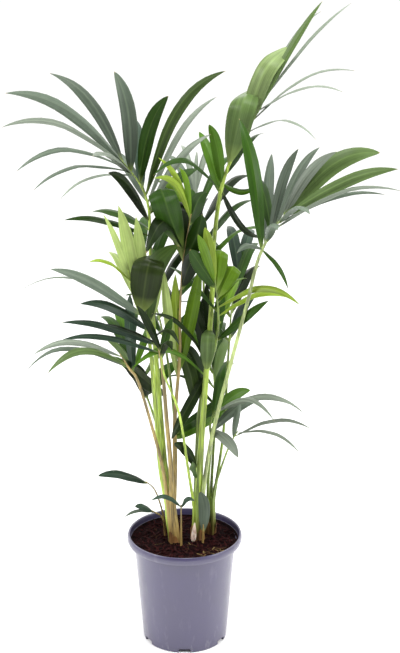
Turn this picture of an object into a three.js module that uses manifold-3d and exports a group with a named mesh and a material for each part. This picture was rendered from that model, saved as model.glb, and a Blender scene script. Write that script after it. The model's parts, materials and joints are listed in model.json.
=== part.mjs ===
// Young kentia palm in a nursery pot.
//
// Millimetres, +Z up. The origin is the centre of the pot's underside, and -Y is the plant's front.
// Three seedlings share the pot. Each has a short stem, and every frond has a petiole that stands on
// its stem and a rib that carries the leaflets on from there.

import * as THREE from 'three';
import { mergeVertices } from 'three/addons/utils/BufferGeometryUtils.js';
import Module from 'manifold-3d';

const wasm = await Module();
wasm.setup();

// ---------------------------------------------------------------------------
// Driving dimensions
// ---------------------------------------------------------------------------

const SEAT_GAP = 0.3; // between pieces that meet
const LEAF_CLEARANCE = 0.6; // added to a leaflet when it is tried against its neighbours

const POT = {
  height: 205,
  rimRadius: 105,
  rimHeight: 14,
  rimThickness: 5.5,
  wallTopRadius: 92.5,
  wallFootRadius: 77,
  wallThickness: 2,
  floorThickness: 3,
  footRound: 1.2,
  rimStep: 2,
  lipRound: 3.2,
  lipFall: 1.5,
  innerStep: 6,
  shelf: 3,
  footRingInner: 62,
  footDiscRadius: 30,
  channelDepth: 4,
  notchCount: 6,
  notchWidth: 22,
  notchHeight: 8,
  segments: 36,
};

const SOIL = { top: 196, crownWidth: 78, edgeDrop: 3, segments: 30 };

// Stems: foot and fork on the ground plan, flare at the foot, radius at the fork, and where each
// petiole stands round the fork, in degrees from +X towards the back.
const STEM_FORK = 262;
const STEMS = {
  left: { foot: [-17, -10], fork: [-25, -5], flare: 14, radius: 10.6 },
  middle: { foot: [24, 2], fork: [24, 2], flare: 13, radius: 10.8 },
  right: { foot: [47, 26], fork: [48, 22], flare: 10.5, radius: 8.6 },
};
const STEM_SIDES = 12;
const STEM_RINGS = [0, 0.08, 0.2, 0.45, 0.75, 1]; // shares of its height

const PETIOLE = { footRadius: 2.9, endRadius: 2.1, rings: 8, sides: 6 };
const RIB = { endRadius: 1.1, rings: 6, sides: 6 };

// A leaflet's outline as its half width along its length, and its thickness for its length.
const LEAF_OUTLINE = [
  [0, 0.28],
  [0.18, 0.84],
  [0.5, 1],
  [0.82, 0.66],
  [1, 0],
];
const SHORT_LEAF_OUTLINE = [
  [0, 0.28],
  [0.26, 0.96],
  [0.7, 0.86],
  [1, 0],
];
const SHORT_LEAF = 155; // reach under which a leaflet has the simpler outline
const LEAF_THICKNESS = 0.012;
const LEAST_THICKNESS = 1.8;
const ARCH_PEAK = 2.6; // makes the highest point of the cubic s - s^3 equal to one

const WELD = 0.005; // vertices of a fused solid that lie closer than this become one

const FOOT_MARGIN = 0.4; // between a petiole's foot and the edge of its stem's fork
const CURVE_STEPS = 600; // samples along a stalk's curve

const COLOURS = {
  pot: 0x85809a,
  soil: 0x2a1a16,
  stem: 0x8a8f4a,
  petiole: 0x9aa35a,
  petioleTan: 0xa8925c,
  petioleLime: 0x9dbb4e,
  frond: 0x3f6b2f,
  frondLight: 0x6f9a3c,
  frondPale: 0xa9b95a,
  husk: 0xd8c3ae,
};

// ---------------------------------------------------------------------------
// The fronds
//
// stand: the stem, and the place round its fork. petiole: the points it passes after its foot, the
// last of them its tip. rib: the points the rib passes after that. fans: rows of leaflets. A value
// with two or three numbers runs from a fan's first leaflet to its last, through its middle one.
//   at       place along the rib, 0 at the petiole and 1 at the end
//   heading  degrees from straight up, to the right as positive, in the front elevation
//   lean     degrees that the leaflet comes forward out of that elevation
//   reach    straight distance from root to tip, and arch is its rise above that line
//   face     degrees that the leaflet's upper side looks up, and turn the side it looks to:
//            0 to the front, 90 to the right, 180 to the back
// ---------------------------------------------------------------------------

const FRONDS = {
  top: {
    stand: ['middle', null],
    girth: [4.3, 3],
    petiole: [[28, -2, 349], [38, -2, 500], [49, 22, 650], [51, 38, 724], [62, 52, 822]],
    rib: [[76, 58, 873], [102, 70, 924], [147, 84, 1004]],
    colour: COLOURS.frondLight,
    petioleColour: COLOURS.petioleLime,
    fans: [
      { leaves: 1, at: 0.05, heading: -58, lean: 50, reach: 205, arch: 34, width: 15 },
      {
        leaves: 2, at: [0.03, 0.1], heading: [-21, -11], lean: [-36, 20],
        reach: [126, 128], arch: 8, width: 18,
      },
      { leaves: 1, at: 0.3, heading: 13, lean: 38, reach: 184, arch: 24, width: 46 },
      { leaves: 1, at: 0.62, heading: 28, lean: 19, reach: 172, arch: 32, width: 36 },
      {
        leaves: 2, at: [0.9, 0.76], heading: [42, 29], lean: [-8, 2],
        reach: [222, 226], arch: [8, 4], width: [8, 13],
      },
      { leaves: 1, at: 0.88, heading: 35, lean: -24, reach: 196, arch: 18, width: 9 },
      {
        leaves: 3, at: [0.69, 0.79, 0.57], heading: [56, 60, 75], lean: [28, 52, 54],
        reach: [224, 240, 196], arch: [24, 18, 26], width: 13, face: 65,
      },
      {
        leaves: 2, at: [0.2, 0.45], heading: [52, 40], lean: [-48, -56],
        reach: [130, 150], arch: 14, width: 20, face: 60, turn: 160,
      },
      {
        leaves: 2, at: [0.06, 0.12], heading: [125, 100], lean: [48, -16],
        reach: [136, 60], arch: [-26, -12], width: 12,
      },
    ],
  },
  upper_left: {
    stand: ['left', 129],
    petiole: [[-35, 6, 327], [-47, 20, 495], [-57, 24, 662], [-58, 20, 754]],
    rib: [[-61, 22, 816], [-74, 26, 850], [-108, 36, 893]],
    colour: COLOURS.frond,
    petioleColour: COLOURS.petioleLime,
    fans: [
      { leaves: 1, at: 0.95, heading: -41, lean: -19, reach: 204, arch: 25, width: 24 },
      {
        leaves: 5, at: [0.88, 0.85, 0.77], heading: [-50, -74, -92], lean: [26, 44, 50],
        reach: [272, 284, 184], arch: [24, 30, 14], width: [22, 17, 13], face: [30, 70, 75],
      },
      {
        leaves: 2, at: [0.82, 0.66], heading: [-9, 18], lean: [-11, 4],
        reach: [174, 164], arch: [20, 12], width: 28,
      },
      { leaves: 1, at: 0.51, heading: 30, lean: 16, reach: 280, arch: 14, width: 26 },
      {
        leaves: 2, at: [0.42, 0.34], heading: [35, 36], lean: [-26, 13],
        reach: [230, 184], arch: [22, 14], width: 16,
      },
      {
        leaves: 3, at: [0.8, 0.6, 0.45], heading: [-32, -10, -50], lean: [65, -62, -58],
        reach: [230, 190, 170], arch: 12, width: [20, 22, 20], face: 55,
      },
      {
        leaves: 2, at: [0.22, 0.3], heading: [-28, 58], lean: [42, -52],
        reach: [178, 160], arch: 12, width: 22,
      },
      {
        leaves: 2, at: [0.05, 0.12], heading: [-70, -88], lean: [26, -48],
        reach: [166, 160], arch: 10, width: [14, 17], face: 50,
      },
    ],
  },
  right: {
    stand: ['middle', 342],
    petiole: [[48, -14, 394], [83, -34, 553], [108, -48, 660], [129, -60, 752]],
    rib: [[151, -64, 796], [170, -72, 826]],
    colour: COLOURS.frond,
    petioleColour: COLOURS.petioleLime,
    fans: [
      {
        leaves: 2, at: [0.08, 0.25], heading: [-10, 8], lean: [-20, -56],
        reach: [230, 212], arch: [20, 8], width: [27, 20],
      },
      {
        leaves: 3, at: [0.42, 0.62, 0.92], heading: [14, 35, 38], lean: [19, -40, -4],
        reach: [180, 182, 140], arch: [10, 16, 12], width: [22, 21, 23],
      },
      {
        leaves: 2, at: [0.96, 0.9], heading: [58, 60], lean: [-13, 19],
        reach: [192, 218], arch: [26, 12], width: 27,
      },
      {
        leaves: 2, at: [0.6, 0.74], heading: [63, 74], lean: [28, -2],
        reach: [246, 184], arch: [24, 16], width: [16, 14], face: 55,
      },
      {
        leaves: 2, at: [0.1, 0.12], heading: [136, -71], lean: [54, 56],
        reach: [98, 84], arch: 9, width: [8, 12],
      },
      {
        leaves: 3, at: [0.3, 0.5, 0.75], heading: [10, -20, 36], lean: [66, -66, 64],
        reach: [150, 160, 160], arch: 16, width: 20, face: 65,
      },
    ],
  },
  mid_right: {
    stand: ['middle', 126],
    petiole: [[23, 10, 363], [27, 16, 439], [40, 16, 509], [54, 12, 559]],
    rib: [[60, -4, 612], [57, -14, 665], [48, -26, 726]],
    colour: COLOURS.frondLight,
    petioleColour: COLOURS.petiole,
    fans: [
      { leaves: 1, at: 0.05, heading: -144, lean: 46, reach: 172, arch: 12, width: 27 },
      {
        leaves: 2, at: [0.07, 0.1], heading: [-84, -48], lean: [44, 34],
        reach: [198, 180], arch: [17, 4], width: 13, face: 60,
      },
      { leaves: 1, at: 0.09, heading: 36, lean: 40, reach: 186, arch: 10, width: 22 },
      {
        leaves: 3, at: [0.13, 0.1, 0.16], heading: [-12, -24, 2], lean: [38, 20, 8],
        reach: [126, 104, 130], arch: 5, width: [26, 20, 24],
      },
      {
        leaves: 2, at: [0.4, 0.5], heading: [68, 71], lean: [15, 38],
        reach: [130, 180], arch: [14, 28], width: [12, 17], face: 50,
      },
      {
        leaves: 3, at: [0.55, 0.3, 0.45], heading: [65, 40, -60], lean: [-50, -64, -64],
        reach: [90, 140, 150], arch: 12, width: [12, 20, 20], face: 60, turn: 160,
      },
      {
        leaves: 3, at: [0.59, 0.69, 0.78], heading: [18, 6, -9], lean: [47, 41, 23],
        reach: [166, 148, 118], arch: 8, width: [36, 32, 34],
      },
    ],
  },
  centre: {
    stand: ['left', 334],
    petiole: [[-17, 0, 330], [-17, 4, 420], [-7, 2, 558]],
    rib: [[-7, 0, 615], [-1, -6, 725], [13, -18, 810]],
    colour: COLOURS.frond,
    petioleColour: COLOURS.petioleTan,
    fans: [
      { leaves: 1, at: 0.03, heading: 168, lean: 24, reach: 116, arch: 6, width: 27 },
      {
        leaves: 2, at: [0.04, 0.1], heading: [10, -4], lean: [28, 12],
        reach: [198, 146], arch: 6, width: [33, 26],
      },
      {
        leaves: 2, at: [0.52, 0.62], heading: [-30, -44], lean: [38, 8],
        reach: [136, 100], arch: [28, 16], width: [36, 34],
      },
      {
        leaves: 2, at: [0.64, 0.7], heading: [-20, -4], lean: [50, 60],
        reach: [190, 150], arch: [88, 56], width: [38, 34],
      },
      {
        leaves: 2, at: [0.64, 0.73], heading: [19, -84], lean: [30, 56],
        reach: [112, 116], arch: [6, 26], width: [32, 17],
      },
      {
        leaves: 3, at: [0.96, 0.97, 0.94], heading: [-25, -13, -50], lean: [1, 38, -43],
        reach: [122, 118, 114], arch: [8, 10, 24], width: 18,
      },
      {
        leaves: 2, at: [0.94, 0.92], heading: [-35, 33], lean: [24, -43],
        reach: [114, 86], arch: [14, 3], width: [16, 26],
      },
      {
        leaves: 3, at: [0.3, 0.45, 0.8], heading: [-64, 58, 40], lean: [-58, -60, -66],
        reach: [150, 160, 140], arch: 18, width: 24, face: 60, turn: 180,
      },
      { leaves: 1, at: 0.82, heading: -12, lean: -30, reach: 96, arch: 8, width: 34 },
    ],
  },
  left: {
    stand: ['left', 283],
    petiole: [[-24, -20, 339], [-30, -28, 429], [-44, -40, 583]],
    rib: [[-58, -46, 612], [-74, -54, 647]],
    colour: COLOURS.frond,
    petioleColour: COLOURS.petioleTan,
    fans: [
      {
        leaves: 2, at: [0.91, 0.95], heading: [-53, -77], lean: [30, 7],
        reach: [216, 218], arch: [20, 26], width: [22, 10], face: [40, 65],
      },
      {
        leaves: 3, at: [0.86, 0.55, 0.3], heading: [-52, -82, -80], lean: [51, 5, 29],
        reach: [191, 160, 184], arch: [5, 3, 4], width: [20, 19, 14], face: 45,
      },
      {
        leaves: 4, at: [0.8, 0.66, 0.5], heading: [-8, 4, 14], lean: [30, 24, 8],
        reach: [120, 138, 114], arch: [14, 16, 8], width: [26, 28, 24],
      },
      {
        leaves: 2, at: [0.25, 0.6], heading: [30, 16], lean: [62, 66],
        reach: [150, 170], arch: 20, width: 22, face: 70,
      },
    ],
  },
  pale: {
    stand: ['left', 180],
    petiole: [[-42, -2, 330], [-50, -6, 440], [-65, -22, 613], [-82, -30, 656]],
    rib: [[-94, -38, 717]],
    colour: COLOURS.frondPale,
    petioleColour: COLOURS.petioleLime,
    fans: [
      {
        leaves: 3, at: [0.55, 0.66, 0.46], heading: [-17, -8, 2], lean: [10, -7, 22],
        reach: [146, 136, 150], arch: [4, 6, 14], width: [14, 22, 24],
      },
      {
        leaves: 2, at: [0.3, 0.85], heading: [-48, -40], lean: [-60, 64],
        reach: [130, 120], arch: 16, width: 16, face: 60,
      },
    ],
  },
  low_left: {
    stand: ['left', 231],
    petiole: [[-38, -18, 338], [-55, -30, 420], [-84, -55, 533]],
    rib: [[-91, -58, 542], [-109, -66, 576]],
    colour: COLOURS.frond,
    petioleColour: COLOURS.petioleTan,
    fans: [
      { leaves: 1, at: 0.12, heading: -1, lean: -15, reach: 146, arch: 13, width: 24 },
      {
        leaves: 3, at: [0.9, 0.4, 0.55], heading: [-76, -92, -73], lean: [24, -6, 46],
        reach: [164, 182, 184], arch: [24, 26, 26], width: [18, 20, 20], face: 45,
      },
      {
        leaves: 2, at: [0.93, 0.7], heading: [-20, 20], lean: [60, 58],
        reach: [176, 140], arch: 14, width: 17, face: 60,
      },
    ],
  },
  low_right: {
    stand: ['right', 180],
    petiole: [[43, 20, 301], [48, 16, 381], [46, 12, 410]],
    rib: [[50, 10, 428], [60, 8, 446]],
    colour: COLOURS.frondLight,
    petioleColour: COLOURS.petiole,
    fans: [
      { leaves: 1, at: 0.5, heading: 64, lean: -36, reach: 92, arch: 10, width: 26 },
      {
        leaves: 3, at: [0.9, 0.8, 0.65], heading: [72, 70, 59], lean: [25, 39, 56],
        reach: [168, 206, 200], arch: [18, 18, 28], width: [18, 15, 20], face: 45,
      },
      {
        leaves: 2, at: [0.35, 0.6], heading: [-96, 20], lean: [55, -60],
        reach: [88, 130], arch: 10, width: [14, 18],
      },
    ],
  },
  low_front: {
    stand: ['right', 300],
    girth: [2.4, 1.7],
    petiole: [[54, 10, 290], [62, 2, 320], [80, -14, 382]],
    rib: [[95, -18, 414]],
    colour: COLOURS.frondLight,
    petioleColour: COLOURS.petiole,
    fans: [
      {
        leaves: 2, at: [0.65, 0.86], heading: [68, 75], lean: [30, 53],
        reach: [168, 180], arch: [16, 20], width: 14, face: 50,
      },
      {
        leaves: 2, at: [0.25, 0.5], heading: [24, 13], lean: [80, -33],
        reach: [106, 68], arch: [34, 5], width: [25, 15], face: [60, 35],
      },
    ],
  },
  young: {
    stand: ['middle', 198],
    girth: [2.6, 1.8],
    petiole: [[7, -22, 339], [-10, -48, 465], [-36, -62, 545]],
    rib: [[-39, -65, 584]],
    colour: COLOURS.frondLight,
    petioleColour: COLOURS.petioleLime,
    fans: [
      {
        leaves: 2, at: [0.9, 0.55], heading: [-24, 14], lean: [9, 19],
        reach: [100, 82], arch: 3, width: 15,
      },
      { leaves: 1, at: 0.7, heading: 24, lean: 62, reach: 110, arch: 18, width: 16, face: 60 },
    ],
  },
  inner: {
    stand: ['middle', 270],
    girth: [2.4, 1.8],
    petiole: [[24, -6, 280], [24, -7, 300]],
    rib: [[23, -8, 344]],
    colour: COLOURS.frond,
    petioleColour: COLOURS.petiole,
    fans: [
      {
        leaves: 2, at: [0.86, 0.4], heading: [-33, -14], lean: [26, 44],
        reach: [84, 92], arch: 8, width: [20, 17],
      },
    ],
  },
  back: {
    stand: ['middle', 54],
    petiole: [[34, 30, 400], [36, 62, 560], [34, 92, 670]],
    rib: [[30, 130, 744], [16, 190, 792]],
    colour: COLOURS.frond,
    petioleColour: COLOURS.petiole,
    fans: [
      {
        leaves: 5, at: [0.95, 0.55, 0.12], heading: [30, 56, 70], lean: [-60, -50, -44],
        reach: [160, 176, 150], arch: 24, width: 24, face: 55, turn: 150,
      },
      {
        leaves: 5, at: [0.9, 0.5, 0.1], heading: [-20, -50, -66], lean: [-60, -50, -44],
        reach: [160, 176, 150], arch: 22, width: 24, face: 55, turn: 200,
      },
      {
        leaves: 2, at: [0.3, 0.8], heading: [-12, 0], lean: [-26, -50],
        reach: [110, 130], arch: 12, width: 24, face: 40, turn: 180,
      },
    ],
  },
  back_left: {
    stand: ['left', 26],
    petiole: [[-16, 24, 380], [-34, 68, 540]],
    rib: [[-60, 128, 624], [-92, 196, 660]],
    colour: COLOURS.frond,
    petioleColour: COLOURS.petiole,
    fans: [
      {
        leaves: 4, at: [0.95, 0.55, 0.12], heading: [-40, -50, -60], lean: [-66, -62, -54],
        reach: [150, 164, 140], arch: 26, width: 23, face: 60, turn: 200,
      },
      {
        leaves: 5, at: [0.9, 0.5, 0.1], heading: [10, 50, 70], lean: [-62, -46, -34],
        reach: [150, 170, 140], arch: 22, width: 23, face: 60, turn: 150,
      },
      {
        leaves: 2, at: [0.4, 0.75], heading: [-4, -10], lean: [-30, -48],
        reach: [110, 130], arch: 14, width: 22, face: 40, turn: 180,
      },
    ],
  },
  back_right: {
    stand: ['right', 20],
    petiole: [[70, 44, 380], [80, 84, 530]],
    rib: [[88, 130, 612], [104, 188, 642]],
    colour: COLOURS.frond,
    petioleColour: COLOURS.petiole,
    fans: [
      {
        leaves: 4, at: [0.95, 0.55, 0.12], heading: [30, 46, 50], lean: [-66, -62, -58],
        reach: [150, 160, 140], arch: 24, width: 23, face: 60, turn: 150,
      },
      {
        leaves: 4, at: [0.9, 0.5, 0.1], heading: [-16, -46, -64], lean: [-62, -50, -40],
        reach: [150, 166, 140], arch: 22, width: 23, face: 60, turn: 200,
      },
    ],
  },
  low_back: {
    stand: ['right', 95],
    petiole: [[52, 46, 340], [56, 80, 410]],
    rib: [[54, 120, 458], [48, 176, 480]],
    colour: COLOURS.frondLight,
    petioleColour: COLOURS.petiole,
    fans: [
      {
        leaves: 4, at: [0.95, 0.55, 0.15], heading: [16, 32, 44], lean: [-68, -68, -64],
        reach: [140, 150, 120], arch: 26, width: 20, face: 60, turn: 150,
      },
      {
        leaves: 4, at: [0.9, 0.5, 0.12], heading: [-24, -56, -74], lean: [-64, -46, -34],
        reach: [140, 150, 120], arch: 24, width: 20, face: 60, turn: 200,
      },
    ],
  },
  low_back_left: {
    stand: ['left', 77],
    petiole: [[-38, 36, 350], [-64, 74, 428]],
    rib: [[-90, 116, 474], [-108, 168, 488]],
    colour: COLOURS.frondLight,
    petioleColour: COLOURS.petiole,
    fans: [
      {
        leaves: 4, at: [0.95, 0.55, 0.2], heading: [-30, -56, -66], lean: [-64, -50, -44],
        reach: [140, 150, 120], arch: 26, width: 20, face: 60, turn: 210,
      },
      {
        leaves: 4, at: [0.9, 0.5, 0.15], heading: [10, 50, 74], lean: [-64, -48, -44],
        reach: [140, 150, 130], arch: 24, width: 20, face: 60, turn: 160,
      },
      {
        leaves: 2, at: [0.08, 0.14], heading: [-24, 48], lean: [12, -24],
        reach: [84, 90], arch: 8, width: 28,
      },
    ],
  },
};
const FROND_FACE = 35;
const FROND_TURN = 0;

// Small first leaves that stand straight in the soil: stalk from the soil, then leaflets from its end.
const SEEDLINGS = {
  seedling_left: {
    foot: [-37, 45],
    stalk: [[-42, 32, 236], [-56, 20, 284], [-70, 8, 303]],
    fans: [{ leaves: 1, at: 0.96, heading: -72, lean: 17, reach: 96, arch: 8, width: 17, face: 50 }],
  },
  seedling_low: {
    foot: [-36, 12],
    stalk: [[-41, 0, 236], [-59, -10, 254]],
    fans: [
      {
        leaves: 2, at: [0.96, 0.9], heading: [-58, -84], lean: [28, 30],
        reach: [42, 62], arch: [3, 8], width: [13, 7], face: 45,
      },
    ],
  },
  seedling_front: {
    foot: [-6, -30],
    stalk: [[-6, -31, 240], [-6, -32, 276]],
    fans: [
      {
        leaves: 2, at: [0.95, 0.93], heading: [-62, 44], lean: [28, 34],
        reach: [68, 42], arch: [12, 8], width: [9, 9],
      },
    ],
  },
  seedling_middle: {
    foot: [33, -20],
    stalk: [[34, -21, 216], [34, -22, 232]],
    fans: [{ leaves: 1, at: 0.6, heading: -4, lean: 4, reach: 84, arch: 6, width: 22, face: 0 }],
  },
};
const SEEDLING = { radii: [2, 1.3], rings: 5, sides: 6 };

const HUSK = { centre: [14, -19], radius: 6.5, tipRadius: 1.2, bend: 5, height: 46, sides: 10, rings: 6 };

// ---------------------------------------------------------------------------
// Solids
// ---------------------------------------------------------------------------

const UP = new THREE.Vector3(0, 0, 1);
const FRONT = new THREE.Vector3(0, -1, 0);
const radians = THREE.MathUtils.degToRad;
const vector = ([x, y, z]) => new THREE.Vector3(x, y, z);

// The value of a run of one, two or three numbers at a share of the way along it.
function along(run, share) {
  if (!Array.isArray(run)) {
    return run;
  }
  if (run.length === 2) {
    return THREE.MathUtils.lerp(run[0], run[1], share);
  }
  const [first, middle, last] = run;
  const rise = 4 * share * (1 - share);
  return first * (1 - share) * (1 - 2 * share) + middle * rise + last * share * (2 * share - 1);
}

// A closed body through rings of points. A last ring of one point closes it to a tip.
function loft(rings) {
  const positions = rings.flat().flatMap((point) => point.toArray());
  const index = [];
  const sides = rings[0].length;
  const last = rings.length - 1;
  const tip = rings[last].length === 1;
  for (let j = 1; j < sides - 1; j += 1) {
    index.push(0, j + 1, j);
  }
  for (let i = 0; i < last - (tip ? 1 : 0); i += 1) {
    for (let j = 0; j < sides; j += 1) {
      const a = i * sides + j;
      const b = i * sides + ((j + 1) % sides);
      index.push(a, b, b + sides, a, b + sides, a + sides);
    }
  }
  const start = (last - (tip ? 1 : 0)) * sides;
  for (let j = 0; tip && j < sides; j += 1) {
    index.push(start + j, start + ((j + 1) % sides), start + sides);
  }
  for (let j = 1; !tip && j < sides - 1; j += 1) {
    index.push(start, start + j, start + j + 1);
  }
  const geometry = new THREE.BufferGeometry();
  geometry.setAttribute('position', new THREE.Float32BufferAttribute(positions, 3));
  geometry.setIndex(index);
  return geometry;
}

// The two directions square to a path: across it, and under it, away from the side that it faces.
function crossAxes(direction, facing) {
  const across = new THREE.Vector3().crossVectors(direction, facing).normalize();
  const under = new THREE.Vector3().crossVectors(direction, across).normalize();
  return { across, under };
}

// A round ring square to a path.
function ring(centre, direction, radius, sides) {
  const { across, under } = crossAxes(direction, FRONT);
  return Array.from({ length: sides }, (_, j) => {
    const angle = (2 * Math.PI * j) / sides;
    return centre
      .clone()
      .addScaledVector(across, radius * Math.cos(angle))
      .addScaledVector(under, radius * Math.sin(angle));
  });
}

// A blade's section: flat below, with a ridge along the middle of the side that it faces.
function bladeSection(centre, direction, side, halfWidth, thickness) {
  const across = side.clone().addScaledVector(direction, -side.dot(direction)).normalize();
  const under = new THREE.Vector3().crossVectors(direction, across);
  return [
    centre.clone().addScaledVector(across, halfWidth).addScaledVector(under, thickness / 2),
    centre.clone().addScaledVector(across, -halfWidth).addScaledVector(under, thickness / 2),
    centre.clone().addScaledVector(under, -thickness / 2),
  ];
}

// A round limb that tapers along a stretch of a curve, with a level foot where it stands on something.
function limb(curve, from, to, radii, rings, sides, levelFoot) {
  return loft(
    Array.from({ length: rings }, (_, i) => {
      const share = i / (rings - 1);
      const u = THREE.MathUtils.lerp(from, to, share);
      const direction = levelFoot && i === 0 ? UP : curve.getTangentAt(u);
      const radius = THREE.MathUtils.lerp(radii[0], radii[1], share);
      return ring(curve.getPointAt(u), direction, radius, sides);
    }),
  );
}

// A point on the straight stretches between a limb's rings, at a share of the way from the first.
function limbAxis(curve, from, to, rings, share) {
  const step = Math.min(Math.floor(share * (rings - 1)), rings - 2);
  const [start, end] = [step, step + 1].map((i) =>
    curve.getPointAt(THREE.MathUtils.lerp(from, to, i / (rings - 1))),
  );
  return start.lerp(end, share * (rings - 1) - step);
}

function toSolid(geometry) {
  const shape = geometry.clone();
  shape.deleteAttribute('normal');
  shape.deleteAttribute('uv');
  const merged = mergeVertices(shape, 1e-3);
  return new wasm.Manifold(
    new wasm.Mesh({
      numProp: 3,
      vertProperties: new Float32Array(merged.attributes.position.array),
      triVerts: new Uint32Array(merged.index.array),
    }),
  );
}

// The main body of a fused solid, without loose scraps, and with any sealed hollow filled.
function onePiece(solid) {
  return solid.decompose().reduce((best, part) => (part.volume() > best.volume() ? part : best));
}

// A solid's faces, with the slivers that fusing leaves between near points closed up.
function toGeometry(solid) {
  const mesh = solid.getMesh();
  const fused = new THREE.BufferGeometry();
  fused.setAttribute('position', new THREE.BufferAttribute(mesh.vertProperties, 3));
  fused.setIndex(new THREE.BufferAttribute(mesh.triVerts, 1));
  const geometry = mergeVertices(fused, WELD);
  const corners = geometry.index.array;
  const kept = [];
  for (let i = 0; i < corners.length; i += 3) {
    const [a, b, c] = corners.slice(i, i + 3);
    if (a !== b && b !== c && c !== a) {
      kept.push(a, b, c);
    }
  }
  geometry.setIndex(kept);
  geometry.computeVertexNormals();
  return geometry;
}

// One leaflet: a thin folded blade on an arching midline, drawn out to a point.
function leaflet(root, leaf, spare = 0) {
  const heading = radians(leaf.heading);
  const lean = radians(leaf.lean);
  const chord = new THREE.Vector3(
    Math.sin(heading) * Math.cos(lean),
    -Math.sin(lean),
    Math.cos(heading) * Math.cos(lean),
  );
  const rise = UP.clone().addScaledVector(chord, -chord.z).normalize();
  const midline = (s) =>
    root
      .clone()
      .addScaledVector(chord, leaf.reach * s)
      .addScaledVector(rise, leaf.arch * ARCH_PEAK * (s - s ** 3));
  const face = radians(leaf.face);
  const turn = radians(leaf.turn);
  const facing = new THREE.Vector3(
    Math.sin(turn) * Math.cos(face),
    -Math.cos(turn) * Math.cos(face),
    Math.sin(face),
  );
  const side = new THREE.Vector3().crossVectors(chord, facing).normalize();
  const thickness = Math.max(leaf.reach * LEAF_THICKNESS, LEAST_THICKNESS) + spare;
  const outline = leaf.reach < SHORT_LEAF ? SHORT_LEAF_OUTLINE : LEAF_OUTLINE;
  const step = 0.02; // on either side of a point, for its direction
  return loft(
    outline.map(([s, share]) => {
      const before = midline(Math.max(s - step, 0));
      const direction = midline(Math.min(s + step, 1)).sub(before).normalize();
      const halfWidth = (leaf.width / 2) * share + spare;
      return share === 0
        ? [midline(1)]
        : bladeSection(midline(s), direction, side, halfWidth, thickness);
    }),
  );
}

// The leaflets of a fan, each with its own values.
function fanLeaves(fan) {
  const values = { face: FROND_FACE, turn: FROND_TURN, ...fan };
  return Array.from({ length: fan.leaves }, (_, i) => {
    const share = fan.leaves > 1 ? i / (fan.leaves - 1) : 0;
    return Object.fromEntries(Object.entries(values).map(([key, run]) => [key, along(run, share)]));
  });
}

// ---------------------------------------------------------------------------
// Building the plant
// ---------------------------------------------------------------------------

const palm = new THREE.Group();
const placed = []; // the solids that a new leaflet keeps clear of

function addPiece(name, geometry, colour, roughness) {
  const material = new THREE.MeshStandardMaterial({ color: colour, roughness, metalness: 0 });
  const mesh = new THREE.Mesh(geometry, material);
  mesh.name = name;
  palm.add(mesh);
}

function touches(a, b) {
  const boxA = a.boundingBox();
  const boxB = b.boundingBox();
  const apart = [0, 1, 2].some((k) => boxA.min[k] > boxB.max[k] || boxB.min[k] > boxA.max[k]);
  return !apart && !a.intersect(b).isEmpty();
}

function pot() {
  const p = POT;
  const underRim = p.height - p.rimHeight;
  const insideFoot = p.wallFootRadius - p.wallThickness;
  const insideTop = p.wallTopRadius - p.wallThickness;
  const insideRim = p.rimRadius - p.rimThickness;
  const floor = p.channelDepth + p.floorThickness;
  const rimOuter = [0.0, 0.15, 0.35, 0.6, 0.8, 1].map((s) => {
    const bulge = Math.sin(Math.PI * (0.12 + 0.76 * s));
    return [p.rimRadius - p.lipRound * (1 - bulge), underRim + p.rimHeight * s];
  });
  const profile = [
    [0, 0],
    [p.footDiscRadius, 0],
    [p.footDiscRadius + 1, p.channelDepth],
    [p.footRingInner, p.channelDepth],
    [p.footRingInner + 1, 0],
    [p.wallFootRadius - p.footRound, 0],
    [p.wallFootRadius, p.footRound],
    [p.wallTopRadius, underRim - p.rimStep],
    [p.wallTopRadius + p.rimStep, underRim],
    ...rimOuter,
    [insideRim, p.height - p.lipFall],
    [insideRim - 0.5, underRim + p.shelf],
    [insideTop, underRim - p.innerStep],
    [insideFoot, floor + p.rimStep],
    [insideFoot - p.rimStep, floor],
    [0, floor],
  ];
  const points = profile.map(([r, z]) => new THREE.Vector2(r, z));
  const turned = new THREE.LatheGeometry(points, p.segments);
  turned.rotateX(Math.PI / 2);
  let solid = toSolid(turned);
  for (let i = 0; i < p.notchCount; i += 1) {
    const notchDepth = 2 * (p.wallFootRadius - p.footRingInner);
    const notch = new THREE.BoxGeometry(notchDepth, p.notchWidth, 2 * p.notchHeight);
    notch.translate(p.wallFootRadius, 0, 0);
    notch.rotateZ(-Math.PI / 2 + (2 * Math.PI * i) / p.notchCount);
    solid = solid.subtract(toSolid(notch));
  }
  return solid;
}

function soil() {
  const p = POT;
  const underRim = p.height - p.rimHeight;
  const clear = SEAT_GAP;
  const insideFoot = p.wallFootRadius - p.wallThickness - clear;
  const insideTop = p.wallTopRadius - p.wallThickness - clear;
  const floor = p.channelDepth + p.floorThickness + clear;
  const profile = [
    [0, floor],
    [insideFoot - p.rimStep, floor],
    [insideFoot, floor + p.rimStep],
    [insideTop, underRim - p.innerStep],
    [insideTop + p.shelf, underRim - p.shelf - clear],
    [insideTop + p.shelf, SOIL.top - SOIL.edgeDrop],
    [SOIL.crownWidth, SOIL.top],
    [0, SOIL.top],
  ];
  const points = profile.map(([r, z]) => new THREE.Vector2(r, z));
  const turned = new THREE.LatheGeometry(points, SOIL.segments);
  turned.rotateX(Math.PI / 2);
  return toSolid(turned);
}

// A short stem of clasping sheaths, from its flat foot at soil level to its fork.
function stem({ foot, fork, flare, radius }) {
  const base = SOIL.top + SEAT_GAP;
  return toSolid(
    loft(
      STEM_RINGS.map((s) => {
        const centre = new THREE.Vector3(
          THREE.MathUtils.lerp(foot[0], fork[0], s),
          THREE.MathUtils.lerp(foot[1], fork[1], s),
          THREE.MathUtils.lerp(base, STEM_FORK, s),
        );
        const swell = radius + (flare - radius) * (1 - s) ** 3;
        return ring(centre, UP, swell, STEM_SIDES);
      }),
    ),
  );
}

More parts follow.
